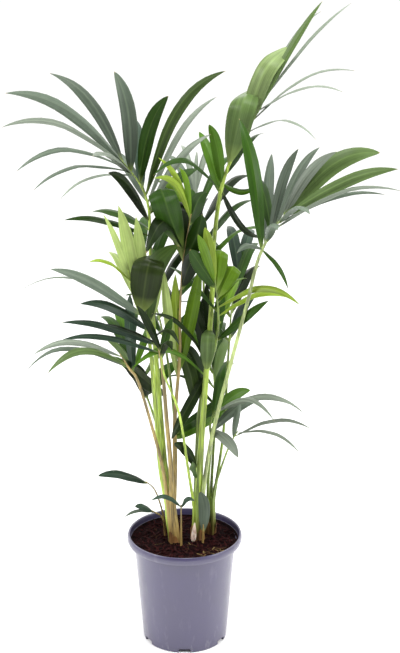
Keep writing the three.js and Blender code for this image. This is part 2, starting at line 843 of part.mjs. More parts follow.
// The pale old seed husk at the foot of the middle stem.
function husk() {
  const base = SOIL.top + SEAT_GAP;
  const rings = Array.from({ length: HUSK.rings }, (_, i) => {
    const s = i / (HUSK.rings - 1);
    const radius = HUSK.radius * (0.35 + 0.65 * Math.sin(Math.PI * Math.min(0.2 + s, 1)));
    const centre = new THREE.Vector3(HUSK.centre[0] + HUSK.bend * s, HUSK.centre[1], base + HUSK.height * s);
    return ring(centre, UP, Math.max(radius, HUSK.tipRadius), HUSK.sides);
  });
  return toSolid(loft(rings));
}

// Where a petiole stands on its stem's fork.
function seat([stemName, place], footRadius) {
  const { fork, radius } = STEMS[stemName];
  const out = place === null ? 0 : radius - footRadius - FOOT_MARGIN;
  const angle = radians(place ?? 0);
  return new THREE.Vector3(
    fork[0] + out * Math.cos(angle),
    fork[1] + out * Math.sin(angle),
    STEM_FORK + SEAT_GAP,
  );
}

// Leaflets that are tried at their own lean first, then a little more or less, and left out if none clears.
const LEAN_TRIALS = [0, 4, -4, 8, -8, 12, -12, 17, -17, 23, -23, 30, -30];

function fuseLeaves({ curve, rib, ribStart, rings }, fans, neighbours) {
  let solid = rib;
  for (const leaf of fans.flatMap(fanLeaves)) {
    const root = limbAxis(curve, ribStart, 1, rings, leaf.at);
    const trials = LEAN_TRIALS.map((more) => ({ ...leaf, lean: leaf.lean + more }));
    const clear = trials.find((trial) => {
      const fat = toSolid(leaflet(root, trial, LEAF_CLEARANCE));
      return !neighbours.some((other) => touches(fat, other));
    });
    if (clear) {
      solid = solid.add(toSolid(leaflet(root, clear)));
    }
  }
  return onePiece(solid);
}

placed.push(pot(), soil());
addPiece('pot', toGeometry(placed[0]), COLOURS.pot, 0.5);
addPiece('soil', toGeometry(placed[1]), COLOURS.soil, 0.95);
for (const [name, shape] of Object.entries(STEMS)) {
  const solid = stem(shape);
  placed.push(solid);
  addPiece(`stem_${name}`, toGeometry(solid), COLOURS.stem, 0.7);
}
const huskSolid = husk();
placed.push(huskSolid);
addPiece('seed_husk', toGeometry(huskSolid), COLOURS.husk, 0.8);

// Every petiole and bare rib comes first, so that leaflets can keep clear of them all.
const stalks = Object.entries(FRONDS).map(([name, frond]) => {
  const [footRadius, endRadius] = frond.girth ?? [PETIOLE.footRadius, PETIOLE.endRadius];
  const foot = seat(frond.stand, footRadius);
  const curve = new THREE.CatmullRomCurve3(
    [foot, ...frond.petiole.map(vector), ...frond.rib.map(vector)],
    false,
    'centripetal',
  );
  curve.arcLengthDivisions = CURVE_STEPS;
  const tip = vector(frond.petiole.at(-1));
  const length = curve.getLength();
  const samples = Array.from({ length: CURVE_STEPS + 1 }, (_, i) => i / CURVE_STEPS);
  const nearest = samples.reduce((best, u) =>
    curve.getPointAt(u).distanceTo(tip) < curve.getPointAt(best).distanceTo(tip) ? u : best,
  );
  const halfGap = SEAT_GAP / 2 / length;
  const petiole = toSolid(
    limb(curve, 0, nearest - halfGap, [footRadius, endRadius], PETIOLE.rings, PETIOLE.sides, true),
  );
  const rib = toSolid(
    limb(curve, nearest + halfGap, 1, [endRadius, RIB.endRadius], RIB.rings, RIB.sides, false),
  );
  return { name, frond, curve, ribStart: nearest + halfGap, rings: RIB.rings, petiole, rib };
});

const seedlings = Object.entries(SEEDLINGS).map(([name, seedling]) => {
  const foot = new THREE.Vector3(...seedling.foot, SOIL.top + SEAT_GAP);
  const curve = new THREE.CatmullRomCurve3([foot, ...seedling.stalk.map(vector)], false, 'centripetal');
  const rib = toSolid(limb(curve, 0, 1, SEEDLING.radii, SEEDLING.rings, SEEDLING.sides, true));
  return { name, seedling, curve, ribStart: 0, rings: SEEDLING.rings, rib };
});

for (const { name, frond, petiole } of stalks) {
  placed.push(petiole);
  addPiece(`petiole_${name}`, toGeometry(petiole), frond.petioleColour, 0.6);
}

const finished = [];
const bare = [...stalks, ...seedlings];
for (const stalk of bare) {
  const { name, frond, seedling } = stalk;
  const otherRibs = bare.filter((other) => other !== stalk && !finished.includes(other.name));
  const neighbours = [...placed, ...otherRibs.map((other) => other.rib)];
  const solid = fuseLeaves(stalk, (frond ?? seedling).fans, neighbours);
  placed.push(solid);
  finished.push(name);
  addPiece(frond ? `frond_${name}` : name, toGeometry(solid), frond?.colour ?? COLOURS.frondLight, 0.5);
}

export default palm;
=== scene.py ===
"""Young kentia palm in a nursery pot, dressed over its packed frame.

Metres, +Z up. The origin is the centre of the pot's underside, and -Y is the plant's front.
"""

import json
import math
import random

import bmesh
import bpy
import numpy as np
from mathutils import Matrix, Vector
from mathutils.bvhtree import BVHTree


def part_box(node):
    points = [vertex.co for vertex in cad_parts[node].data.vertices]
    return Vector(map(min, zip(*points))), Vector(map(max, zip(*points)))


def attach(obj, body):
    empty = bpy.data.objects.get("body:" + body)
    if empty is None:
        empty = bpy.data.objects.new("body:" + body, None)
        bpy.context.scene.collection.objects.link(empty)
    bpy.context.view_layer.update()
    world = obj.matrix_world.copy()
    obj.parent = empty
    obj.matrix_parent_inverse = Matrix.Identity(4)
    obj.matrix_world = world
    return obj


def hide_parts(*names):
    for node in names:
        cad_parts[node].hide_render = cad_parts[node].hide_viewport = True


bl_info = {
    "name": "Potted Kentia Palm",
    "version": (1, 0, 0),
    "blender": (4, 5, 0),
    "location": "3D View > Sidebar > Palm",
    "description": "Builds a young kentia palm in its pot, one kind of piece at a time",
    "category": "Add Mesh",
}

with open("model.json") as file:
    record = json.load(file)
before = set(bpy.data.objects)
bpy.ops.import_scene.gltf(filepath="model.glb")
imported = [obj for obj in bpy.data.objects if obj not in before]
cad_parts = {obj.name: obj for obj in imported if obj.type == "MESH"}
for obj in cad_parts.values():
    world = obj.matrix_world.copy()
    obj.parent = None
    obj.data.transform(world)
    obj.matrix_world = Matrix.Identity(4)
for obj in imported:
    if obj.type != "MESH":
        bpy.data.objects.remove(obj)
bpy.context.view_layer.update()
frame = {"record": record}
POT_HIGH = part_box("pot")[1]
SOIL_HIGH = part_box("soil")[1]
STEM_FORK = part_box("stem_left")[1].z

# ---------------------------------------------------------------------------
# The fronds
#
# stand: the stem, and the place round its fork in degrees from +X towards the back. girth: the
# stalk's radius at its foot and where its rib begins, where it isn't GIRTH. petiole: the points it
# passes after its foot, the last of them its tip. rib: the points the rib passes after that. skin:
# the stalk's colour. fans: rows of leaflets. A value with two or three numbers runs from a fan's
# first leaflet to its last, through its middle one.
#   leaves   how many leaflets
#   at       place along the rib, 0 at the petiole and 1 at the end, and below 0 down the petiole
#   heading  degrees from straight up, to the right as positive, in the front elevation
#   lean     degrees that the leaflet comes forward out of that elevation
#   reach    straight distance from root to tip, and arch is its rise above that line
#   face     degrees that the leaflet's upper side looks up, and turn the side it looks to:
#            0 to the front, 90 to the right, 180 to the back
#   curl     degrees that its outer part rolls under, fold how far its halves hang as a share of the
#            usual, and twist how far it turns about its own midrib
#   tones    the leaf colours, dealt out in turn from the first leaflet
# ---------------------------------------------------------------------------

FRONDS = {
    "top": dict(
        stand=("middle", None),
        girth=(0.0056, 0.0036),
        petiole=[
            (0.028, -0.002, 0.349), (0.038, -0.002, 0.5), (0.049, 0.022, 0.65),
            (0.051, 0.038, 0.724), (0.062, 0.052, 0.822),
        ],
        rib=[(0.076, 0.058, 0.873), (0.102, 0.07, 0.924), (0.147, 0.084, 1.004)],
        skin="lime",
        fans=[
            dict(leaves=1, at=0.05, heading=-58, lean=50, reach=0.205, arch=0.034, width=0.011,
                 tones="deep"),
            dict(leaves=2, at=(0.03, 0.1), heading=(-21, -11), lean=(-36, 20), reach=(0.126, 0.128),
                 arch=0.008, width=0.021, tones="mid mid"),
            dict(leaves=1, at=0.28, heading=11, lean=17, reach=0.196, arch=0.001, width=0.05, curl=106,
                 fold=0.7, tones="soft"),
            dict(leaves=1, at=0.55, heading=25, lean=11, reach=0.214, arch=0.019, width=0.036, curl=76,
                 fold=0.8, tones="milky"),
            dict(leaves=2, at=(0.9, 0.76), heading=(42, 29), lean=(-8, 2), reach=(0.222, 0.226),
                 arch=(0.008, 0.004), width=(0.006, 0.013), tones="silver soft"),
            dict(leaves=1, at=0.88, heading=35, lean=-24, reach=0.196, arch=0.018, width=0.006,
                 tones="silver"),
            dict(leaves=3, at=(0.69, 0.79, 0.57), heading=(56, 60, 75), lean=(28, 52, 54),
                 reach=(0.224, 0.24, 0.196), arch=(0.024, 0.018, 0.026), width=0.011, face=65,
                 tones="silver silver silver"),
            dict(leaves=2, at=(0.2, 0.45), heading=(52, 40), lean=(-48, -56), reach=(0.13, 0.15),
                 arch=0.014, width=0.02, face=60, turn=160, tones="deep mid"),
            dict(leaves=2, at=(0.06, 0.12), heading=(125, 100), lean=(48, -16), reach=(0.136, 0.06),
                 arch=(-0.026, -0.012), width=0.012, tones="dark mid"),
            dict(leaves=1, at=-1.52, heading=2, lean=31, reach=0.136, arch=0.004, width=0.026, curl=135,
                 twist=0, tones="soft"),
        ],
    ),
    "upper_left": dict(
        stand=("left", 129),
        girth=(0.0056, 0.003),
        petiole=[
            (-0.035, 0.006, 0.327), (-0.047, 0.02, 0.495), (-0.057, 0.024, 0.662),
            (-0.058, 0.02, 0.754),
        ],
        rib=[(-0.061, 0.022, 0.816), (-0.074, 0.026, 0.85), (-0.108, 0.036, 0.893)],
        skin="lime",
        fans=[
            dict(leaves=1, at=0.95, heading=-41, lean=-19, reach=0.204, arch=0.025, width=0.024,
                 tones="grey"),
            dict(leaves=1, at=0.88, heading=-50, lean=27, reach=0.274, arch=0.026, width=0.022, face=35,
                 tones="grey"),
            dict(leaves=1, at=0.87, heading=-60, lean=36, reach=0.273, arch=0.031, width=0.014, face=50,
                 tones="silver"),
            dict(leaves=1, at=0.85, heading=-75, lean=46, reach=0.254, arch=0.032, width=0.012, face=60,
                 tones="grey"),
            dict(leaves=1, at=0.82, heading=-84, lean=49, reach=0.227, arch=0.023, width=0.01, face=70,
                 tones="grey"),
            dict(leaves=1, at=0.77, heading=-91, lean=51, reach=0.18, arch=0.018, width=0.011, face=75,
                 tones="silver"),
            dict(leaves=2, at=(0.82, 0.66), heading=(-9, 18), lean=(-11, 4), reach=(0.174, 0.164),
                 arch=(0.02, 0.012), width=0.028, tones="grey deep"),
            dict(leaves=1, at=0.51, heading=30, lean=16, reach=0.28, arch=0.032, width=0.023,
                 tones="olive"),
            dict(leaves=2, at=(0.42, 0.34), heading=(35, 36), lean=(-26, 13), reach=(0.23, 0.184),
                 arch=(0.022, 0.014), width=(0.012, 0.015), tones="silver silver"),
            dict(leaves=3, at=(0.8, 0.6, 0.45), heading=(-32, -10, -50), lean=(65, -62, -58),
                 reach=(0.23, 0.19, 0.17), arch=0.012, width=(0.024, 0.022, 0.02), face=55,
                 tones="silver slate grey"),
            dict(leaves=2, at=(0.22, 0.3), heading=(-28, 58), lean=(42, -52), reach=(0.178, 0.16),
                 arch=0.012, width=0.022, tones="dark deep"),
            dict(leaves=2, at=(0.05, 0.12), heading=(-70, -88), lean=(26, -48), reach=(0.166, 0.16),
                 arch=0.01, width=(0.014, 0.017), face=50, tones="deep deep"),
        ],
    ),
    "right": dict(
        stand=("middle", 342),
        girth=(0.0038, 0.0028),
        petiole=[
            (0.048, -0.014, 0.394), (0.083, -0.034, 0.553), (0.108, -0.048, 0.66),
            (0.129, -0.06, 0.752),
        ],
        rib=[(0.151, -0.064, 0.796), (0.17, -0.072, 0.826)],
        skin="pale",
        fans=[
            dict(leaves=2, at=(0.08, 0.25), heading=(-10, 8), lean=(-20, -56), reach=(0.23, 0.212),
                 arch=(0.02, 0.008), width=(0.027, 0.02), tones="deep grey"),
            dict(leaves=3, at=(0.42, 0.62, 0.92), heading=(14, 35, 38), lean=(19, -40, -4),
                 reach=(0.18, 0.182, 0.14), arch=(0.01, 0.016, 0.012), width=(0.018, 0.017, 0.019),
                 tones="grey grey silver"),
            dict(leaves=2, at=(0.96, 0.9), heading=(58, 60), lean=(-13, 19), reach=(0.192, 0.218),
                 arch=(0.026, 0.012), width=(0.034, 0.022), tones="soft soft"),
            dict(leaves=2, at=(0.6, 0.74), heading=(63, 74), lean=(28, -2), reach=(0.246, 0.184),
                 arch=(0.024, 0.016), width=(0.013, 0.008), face=55, tones="silver grey"),
            dict(leaves=2, at=(0.1, 0.12), heading=(136, -71), lean=(54, 56), reach=(0.098, 0.084),
                 arch=0.009, width=(0.008, 0.012), tones="deep grey"),
            dict(leaves=3, at=(0.3, 0.5, 0.75), heading=(10, -20, 36), lean=(66, -66, 64),
                 reach=(0.15, 0.16, 0.16), arch=0.016, width=0.02, face=65, tones="grey deep grey"),
        ],
    ),
    "mid_right": dict(
        stand=("middle", 126),
        girth=(0.0045, 0.003),
        petiole=[
            (0.023, 0.01, 0.363), (0.027, 0.016, 0.439), (0.04, 0.016, 0.509),
            (0.054, 0.012, 0.559),
        ],
        rib=[(0.06, -0.004, 0.612), (0.057, -0.014, 0.665), (0.048, -0.026, 0.726)],
        skin="green",
        fans=[
            dict(leaves=1, at=-0.3, heading=-148, lean=42, reach=0.13, arch=0.001, width=0.021,
                 tones="dark"),
            dict(leaves=1, at=-0.33, heading=-71, lean=29, reach=0.156, arch=0.04, width=0.014, face=60,
                 tones="mid"),
            dict(leaves=1, at=-0.2, heading=-39, lean=23, reach=0.17, arch=0.018, width=0.011, face=60,
                 tones="dark"),
            dict(leaves=1, at=-0.1, heading=-15, lean=14, reach=0.125, arch=-0.008, width=0.02,
                 tones="dark"),
            dict(leaves=1, at=-0.05, heading=-6, lean=20, reach=0.126, arch=-0.003, width=0.019,
                 tones="dark"),
            dict(leaves=1, at=0.09, heading=39, lean=33, reach=0.163, arch=0.001, width=0.018,
                 tones="deep"),
            dict(leaves=1, at=0.16, heading=5, lean=3, reach=0.085, arch=0, width=0.02, tones="deep"),
            dict(leaves=1, at=0.4, heading=71, lean=6, reach=0.125, arch=0.017, width=0.011, face=50,
                 tones="bright"),
            dict(leaves=1, at=0.5, heading=76, lean=30, reach=0.162, arch=0.029, width=0.014, face=50,
                 tones="bright"),
            dict(leaves=3, at=(0.55, 0.3, 0.45), heading=(65, 40, -60), lean=(-50, -64, -64),
                 reach=(0.09, 0.14, 0.15), arch=0.012, width=(0.012, 0.02, 0.02), face=60, turn=160,
                 tones="fresh fresh deep"),
            dict(leaves=1, at=0.59, heading=28, lean=-7, reach=0.104, arch=0.003, width=0.034, curl=118,
                 tones="fresh"),
            dict(leaves=1, at=0.69, heading=8, lean=-5, reach=0.113, arch=0.002, width=0.03, curl=118,
                 tones="fresh"),
            dict(leaves=1, at=0.72, heading=-27, lean=29, reach=0.11, arch=-0.001, width=0.028,
                 tones="deep"),
            dict(leaves=1, at=0.78, heading=-9, lean=20, reach=0.12, arch=0.002, width=0.02,
                 tones="bright"),
            dict(leaves=1, at=0.76, heading=-15, lean=32, reach=0.136, arch=0.002, width=0.018,
                 tones="fresh"),
        ],
    ),
    "centre": dict(
        stand=("left", 334),
        girth=(0.0042, 0.0026),
        petiole=[(-0.017, 0, 0.33), (-0.017, 0.004, 0.42), (-0.007, 0.002, 0.558)],
        rib=[(-0.007, 0, 0.615), (-0.001, -0.006, 0.725), (0.013, -0.018, 0.81)],
        skin="tan",
        fans=[
            dict(leaves=1, at=0.72, heading=-11, lean=15, reach=0.225, arch=-0.02, width=0.052,
                 curl=128, twist=6, tones="deep"),
            dict(leaves=1, at=0.66, heading=-4, lean=11, reach=0.173, arch=-0.005, width=0.038,
                 curl=120, tones="dark"),
            dict(leaves=1, at=0.74, heading=-73, lean=51, reach=0.105, arch=0.051, width=0.034,
                 tones="dark"),
            dict(leaves=1, at=0.64, heading=19, lean=16, reach=0.105, arch=-0.006, width=0.034,
                 tones="deep"),
            dict(leaves=1, at=0.45, heading=19, lean=29, reach=0.097, arch=0.004, width=0.03,
                 tones="dark"),
            dict(leaves=1, at=0.96, heading=-25, lean=6, reach=0.125, arch=0.011, width=0.011,
                 tones="bright"),
            dict(leaves=1, at=0.97, heading=-35, lean=27, reach=0.116, arch=0.021, width=0.013,
                 tones="bright"),
            dict(leaves=1, at=0.94, heading=-9, lean=18, reach=0.112, arch=0.014, width=0.011,
                 tones="fresh"),
            dict(leaves=1, at=0.94, heading=-50, lean=-43, reach=0.114, arch=0.024, width=0.016,
                 tones="fresh"),
            dict(leaves=1, at=0.92, heading=33, lean=-43, reach=0.075, arch=0.01, width=0.028,
                 tones="deep"),
            dict(leaves=1, at=0.03, heading=168, lean=24, reach=0.116, arch=0.007, width=0.027,
                 tones="olive"),
            dict(leaves=1, at=-0.22, heading=-6, lean=5, reach=0.217, arch=-0.004, width=0.019,
                 fold=1.6, twist=0, tones="pale"),
            dict(leaves=1, at=-0.1, heading=-2, lean=1, reach=0.17, arch=-0.002, width=0.018, fold=1.5,
                 twist=0, tones="bright"),
            dict(leaves=1, at=-0.16, heading=11, lean=-5, reach=0.201, arch=-0.002, width=0.025,
                 fold=1.2, twist=10, tones="fresh"),
            dict(leaves=1, at=-0.62, heading=67, lean=-28, reach=0.153, arch=-0.003, width=0.026,
                 tones="deep"),
            dict(leaves=1, at=-0.66, heading=72, lean=-26, reach=0.129, arch=0.004, width=0.03,
                 tones="mid"),
            dict(leaves=3, at=(0.3, 0.45, 0.8), heading=(-64, 58, 40), lean=(-58, -60, -66),
                 reach=(0.15, 0.16, 0.14), arch=0.018, width=0.024, face=60, turn=180,
                 tones="dark deep dark"),
            dict(leaves=1, at=0.82, heading=-12, lean=-30, reach=0.096, arch=0.008, width=0.034,
                 tones="deep"),
        ],
    ),
    "left": dict(
        stand=("left", 283),
        girth=(0.0045, 0.0028),
        petiole=[(-0.024, -0.02, 0.339), (-0.03, -0.028, 0.429), (-0.044, -0.04, 0.583)],
        rib=[(-0.058, -0.046, 0.612), (-0.074, -0.054, 0.647)],
        skin="tan",
        fans=[
            dict(leaves=1, at=0.93, heading=-53, lean=23, reach=0.197, arch=0.009, width=0.02,
                 tones="grey"),
            dict(leaves=1, at=0.95, heading=-78, lean=2, reach=0.215, arch=0.041, width=0.006, face=65,
                 tones="silver"),
            dict(leaves=1, at=0.45, heading=-59, lean=22, reach=0.144, arch=0.013, width=0.02, face=45,
                 tones="slate"),
            dict(leaves=1, at=0, heading=-70, lean=13, reach=0.176, arch=0.009, width=0.015, face=50,
                 tones="slate"),
            dict(leaves=1, at=0.05, heading=-70, lean=-6, reach=0.099, arch=0.001, width=0.012, face=50,
                 tones="dark"),
            dict(leaves=1, at=-0.2, heading=-75, lean=17, reach=0.18, arch=0.013, width=0.012, face=50,
                 tones="slate"),
            dict(leaves=1, at=0.95, heading=9, lean=12, reach=0.15, arch=0.002, width=0.056, curl=108,
                 twist=-4, fold=0.5, tones="bronze"),
            dict(leaves=1, at=0.6, heading=21, lean=-7, reach=0.152, arch=0.026, width=0.042, twist=14,
                 tones="olive"),
            dict(leaves=1, at=0.5, heading=11, lean=-11, reach=0.117, arch=0.001, width=0.02, fold=1.3,
                 twist=0, tones="pale"),
            dict(leaves=1, at=0.25, heading=65, lean=63, reach=0.109, arch=0.02, width=0.011, face=70,
                 tones="dark"),
        ],
    ),
    "pale": dict(
        stand=("left", 180),
        girth=(0.005, 0.0026),
        petiole=[
            (-0.042, -0.002, 0.33), (-0.05, -0.006, 0.44), (-0.065, -0.022, 0.613),
            (-0.082, -0.03, 0.656),
        ],
        rib=[(-0.094, -0.038, 0.717)],
        skin="lime",
        fans=[
            dict(leaves=1, at=-0.1, heading=-17, lean=8, reach=0.183, arch=0.005, width=0.013, twist=6,
                 tones="pale"),
            dict(leaves=1, at=-0.25, heading=-10, lean=-2, reach=0.191, arch=0.003, width=0.025,
                 fold=0.8, twist=6, tones="pale"),
            dict(leaves=1, at=-0.4, heading=-3, lean=8, reach=0.173, arch=0.011, width=0.024, fold=0.8,
                 twist=0, tones="pale"),
            dict(leaves=1, at=0.3, heading=-48, lean=-60, reach=0.13, arch=0.016, width=0.016, face=60,
                 tones="pale"),
            dict(leaves=1, at=0.7, heading=-52, lean=34, reach=0.1, arch=0.012, width=0.011, face=60,
                 tones="bright"),
        ],
    ),
    "low_left": dict(
        stand=("left", 231),
        girth=(0.0034, 0.0024),
        petiole=[(-0.038, -0.018, 0.338), (-0.055, -0.03, 0.42), (-0.084, -0.055, 0.533)],
        rib=[(-0.091, -0.058, 0.542), (-0.109, -0.066, 0.576)],
        skin="tan",
        fans=[
            dict(leaves=1, at=0.12, heading=-2, lean=-15, reach=0.139, arch=-0.033, width=0.022,
                 tones="slate"),
            dict(leaves=1, at=0.9, heading=-78, lean=24, reach=0.16, arch=0.022, width=0.013, face=45,
                 tones="silver"),
            dict(leaves=1, at=0.4, heading=-93, lean=-6, reach=0.179, arch=0.037, width=0.01, face=45,
                 tones="grey"),
            dict(leaves=1, at=0.55, heading=-74, lean=45, reach=0.18, arch=0.031, width=0.016, face=40,
                 tones="soft"),
            dict(leaves=1, at=0.75, heading=147, lean=-35, reach=0.18, arch=-0.006, width=0.027,
                 tones="dark"),
        ],
    ),
    "low_right": dict(
        stand=("right", 180),
        petiole=[(0.043, 0.02, 0.301), (0.048, 0.016, 0.381), (0.046, 0.012, 0.41)],
        rib=[(0.05, 0.01, 0.428), (0.06, 0.008, 0.446)],
        skin="green",
        fans=[
            dict(leaves=1, at=-0.3, heading=55, lean=-3, reach=0.113, arch=0.01, width=0.02,
                 tones="grey"),
            dict(leaves=1, at=-0.1, heading=111, lean=70, reach=0.098, arch=0.01, width=0.021, face=55,
                 tones="silver"),
            dict(leaves=1, at=0.5, heading=64, lean=-33, reach=0.091, arch=0.01, width=0.022,
                 tones="mid"),
            dict(leaves=1, at=0.9, heading=80, lean=27, reach=0.174, arch=0.03, width=0.008, face=50,
                 tones="silver"),
            dict(leaves=1, at=0.8, heading=67, lean=38, reach=0.193, arch=0.02, width=0.011, face=45,
                 tones="silver"),
            dict(leaves=1, at=0.65, heading=60, lean=54, reach=0.196, arch=0.032, width=0.011, face=45,
                 tones="silver"),
            dict(leaves=1, at=0.6, heading=20, lean=-60, reach=0.13, arch=0.01, width=0.018,
                 tones="deep"),
        ],
    ),
    "low_front": dict(
        stand=("right", 300),
        girth=(0.0024, 0.0017),
        petiole=[(0.054, 0.01, 0.29), (0.062, 0.002, 0.32), (0.08, -0.014, 0.382)],
        rib=[(0.095, -0.018, 0.414)],
        skin="green",
        fans=[
            dict(leaves=1, at=0.65, heading=68, lean=31, reach=0.163, arch=0.02, width=0.008, face=50,
                 tones="silver"),
            dict(leaves=1, at=0.86, heading=79, lean=51, reach=0.17, arch=0.02, width=0.007, face=50,
                 tones="silver"),
            dict(leaves=1, at=0.5, heading=13, lean=-33, reach=0.068, arch=0.005, width=0.013,
                 tones="grey"),
        ],
    ),
    "young": dict(
        stand=("middle", 198),
        girth=(0.0026, 0.0018),
        petiole=[(0.007, -0.022, 0.339), (-0.01, -0.048, 0.465), (-0.036, -0.062, 0.545)],
        rib=[(-0.039, -0.065, 0.584)],
        skin="lime",
        fans=[
            dict(leaves=2, at=(0.9, 0.55), heading=(-24, 14), lean=(9, 19), reach=(0.1, 0.082),
                 arch=0.003, width=0.015, tones="dark deep"),
            dict(leaves=1, at=0.7, heading=24, lean=62, reach=0.11, arch=0.018, width=0.016, face=60,
                 tones="dark"),
        ],
    ),
    "inner": dict(
        stand=("middle", 270),
        girth=(0.0024, 0.0018),
        petiole=[(0.024, -0.006, 0.28), (0.024, -0.007, 0.3)],
        rib=[(0.023, -0.008, 0.344)],
        skin="green",
        fans=[
            dict(leaves=2, at=(0.86, 0.4), heading=(-33, -14), lean=(26, 44), reach=(0.084, 0.092),
                 arch=0.008, width=(0.02, 0.017), tones="dark deep"),
        ],
    ),
    "back": dict(
        stand=("middle", 54),
        petiole=[(0.034, 0.03, 0.4), (0.036, 0.062, 0.56), (0.034, 0.092, 0.67)],
        rib=[(0.03, 0.13, 0.744), (0.016, 0.19, 0.792)],
        skin="green",
        fans=[
            dict(leaves=5, at=(0.95, 0.55, 0.12), heading=(30, 56, 70), lean=(-60, -50, -44),
                 reach=(0.16, 0.176, 0.15), arch=0.024, width=(0.012, 0.022, 0.024), face=55, turn=150,
                 tones="silver deep dark deep mid"),
            dict(leaves=5, at=(0.9, 0.5, 0.1), heading=(-20, -50, -66), lean=(-60, -50, -44),
                 reach=(0.16, 0.176, 0.15), arch=0.022, width=(0.012, 0.02, 0.024), face=55, turn=200,
                 tones="silver grey dark deep deep"),
            dict(leaves=2, at=(0.3, 0.8), heading=(-12, 0), lean=(-26, -50), reach=(0.11, 0.13),
                 arch=0.012, width=(0.02, 0.012), face=40, turn=180, tones="deep silver"),
            dict(leaves=1, at=-0.9, heading=-11, lean=5, reach=0.121, arch=0.008, width=0.028,
                 tones="dark"),
            dict(leaves=1, at=-0.75, heading=6, lean=3, reach=0.1, arch=0.008, width=0.022,
                 tones="dark"),
            dict(leaves=1, at=-1.3, heading=-21, lean=7, reach=0.105, arch=0.008, width=0.024,
                 tones="dark"),
            dict(leaves=1, at=-1.15, heading=11, lean=-2, reach=0.091, arch=0.008, width=0.02,
                 tones="deep"),
        ],
    ),
    "back_left": dict(
        stand=("left", 26),
        petiole=[(-0.016, 0.024, 0.38), (-0.034, 0.068, 0.54)],
        rib=[(-0.06, 0.128, 0.624), (-0.092, 0.196, 0.66)],
        skin="green",
        fans=[
            dict(leaves=4, at=(0.95, 0.55, 0.12), heading=(-40, -50, -60), lean=(-66, -62, -54),
                 reach=(0.15, 0.164, 0.14), arch=0.026, width=0.023, face=60, turn=200,
                 tones="deep deep dark deep"),
            dict(leaves=5, at=(0.9, 0.5, 0.1), heading=(10, 50, 70), lean=(-62, -46, -34),
                 reach=(0.15, 0.17, 0.14), arch=0.022, width=0.023, face=60, turn=150,
                 tones="deep deep dark deep"),
            dict(leaves=2, at=(0.4, 0.75), heading=(-4, -10), lean=(-30, -48), reach=(0.11, 0.13),
                 arch=0.014, width=0.022, face=40, turn=180, tones="deep mid"),
        ],
    ),
    "back_right": dict(
        stand=("right", 20),
        petiole=[(0.07, 0.044, 0.38), (0.08, 0.084, 0.53)],
        rib=[(0.088, 0.13, 0.612), (0.104, 0.188, 0.642)],
        skin="green",
        fans=[
            dict(leaves=4, at=(0.95, 0.55, 0.12), heading=(30, 46, 50), lean=(-66, -62, -58),
                 reach=(0.15, 0.16, 0.14), arch=0.024, width=0.023, face=60, turn=150,
                 tones="slate deep dark slate"),
            dict(leaves=4, at=(0.9, 0.5, 0.1), heading=(-16, -46, -64), lean=(-62, -50, -40),
                 reach=(0.15, 0.166, 0.14), arch=0.022, width=0.023, face=60, turn=200,
                 tones="slate deep dark deep"),
        ],
    ),
    "low_back": dict(
        stand=("right", 95),
        petiole=[(0.052, 0.046, 0.34), (0.056, 0.08, 0.41)],
        rib=[(0.054, 0.12, 0.458), (0.048, 0.176, 0.48)],
        skin="green",
        fans=[
            dict(leaves=4, at=(0.95, 0.55, 0.15), heading=(16, 32, 44), lean=(-68, -68, -64),
                 reach=(0.14, 0.15, 0.12), arch=0.026, width=0.02, face=60, turn=150,
                 tones="mid deep soft"),
            dict(leaves=4, at=(0.9, 0.5, 0.12), heading=(-24, -56, -74), lean=(-64, -46, -34),
                 reach=(0.14, 0.15, 0.12), arch=0.024, width=0.02, face=60, turn=200,
                 tones="deep mid soft"),
        ],
    ),
    "low_back_left": dict(
        stand=("left", 77),
        petiole=[(-0.038, 0.036, 0.35), (-0.064, 0.074, 0.428)],
        rib=[(-0.09, 0.116, 0.474), (-0.108, 0.168, 0.488)],
        skin="green",
        fans=[
            dict(leaves=4, at=(0.95, 0.55, 0.2), heading=(-30, -56, -66), lean=(-64, -50, -44),
                 reach=(0.14, 0.15, 0.12), arch=0.026, width=0.02, face=60, turn=210,
                 tones="mid deep soft"),
            dict(leaves=4, at=(0.9, 0.5, 0.15), heading=(10, 50, 74), lean=(-64, -48, -44),
                 reach=(0.14, 0.15, 0.13), arch=0.024, width=0.02, face=60, turn=160,
                 tones="deep mid soft"),
            dict(leaves=2, at=(0.08, 0.14), heading=(-24, 48), lean=(12, -24), reach=(0.084, 0.09),
                 arch=0.008, width=0.028, tones="dark deep"),
        ],
    ),
}
FROND_FACE = 35
FROND_TURN = 0

# Small first leaves that stand straight in the soil: stalk from the soil, then leaflets from its end.
SEEDLINGS = {
    "seedling_left": dict(
        foot=(-0.037, 0.045),
        stalk=[(-0.042, 0.032, 0.236), (-0.056, 0.02, 0.284), (-0.07, 0.008, 0.303)],
        fans=[
            dict(leaves=1, at=0.96, heading=-72, lean=17, reach=0.096, arch=0.008, width=0.017,
                 face=50, tones="slate"),
        ],
    ),
    "seedling_low": dict(
        foot=(-0.036, 0.012),
        stalk=[(-0.041, 0, 0.236), (-0.059, -0.01, 0.254)],
        fans=[
            dict(leaves=2, at=(0.96, 0.9), heading=(-58, -84), lean=(28, 30), reach=(0.042, 0.062),
                 arch=(0.003, 0.008), width=(0.013, 0.007), face=45, tones="slate grey"),
        ],
    ),
    "seedling_front": dict(
        foot=(-0.006, -0.03),
        stalk=[(-0.006, -0.031, 0.24), (-0.006, -0.032, 0.276)],
        fans=[
            dict(leaves=2, at=(0.95, 0.93), heading=(-62, 44), lean=(28, 34), reach=(0.068, 0.042),
                 arch=(0.012, 0.008), width=(0.009, 0.009), tones="slate slate"),
        ],
    ),
    "seedling_middle": dict(
        foot=(0.033, -0.02),
        stalk=[(0.034, -0.021, 0.216), (0.034, -0.022, 0.232)],
        fans=[
            dict(leaves=1, at=0.6, heading=-4, lean=4, reach=0.084, arch=0.006, width=0.022, face=0,
                 tones="grey"),
        ],
    ),
}

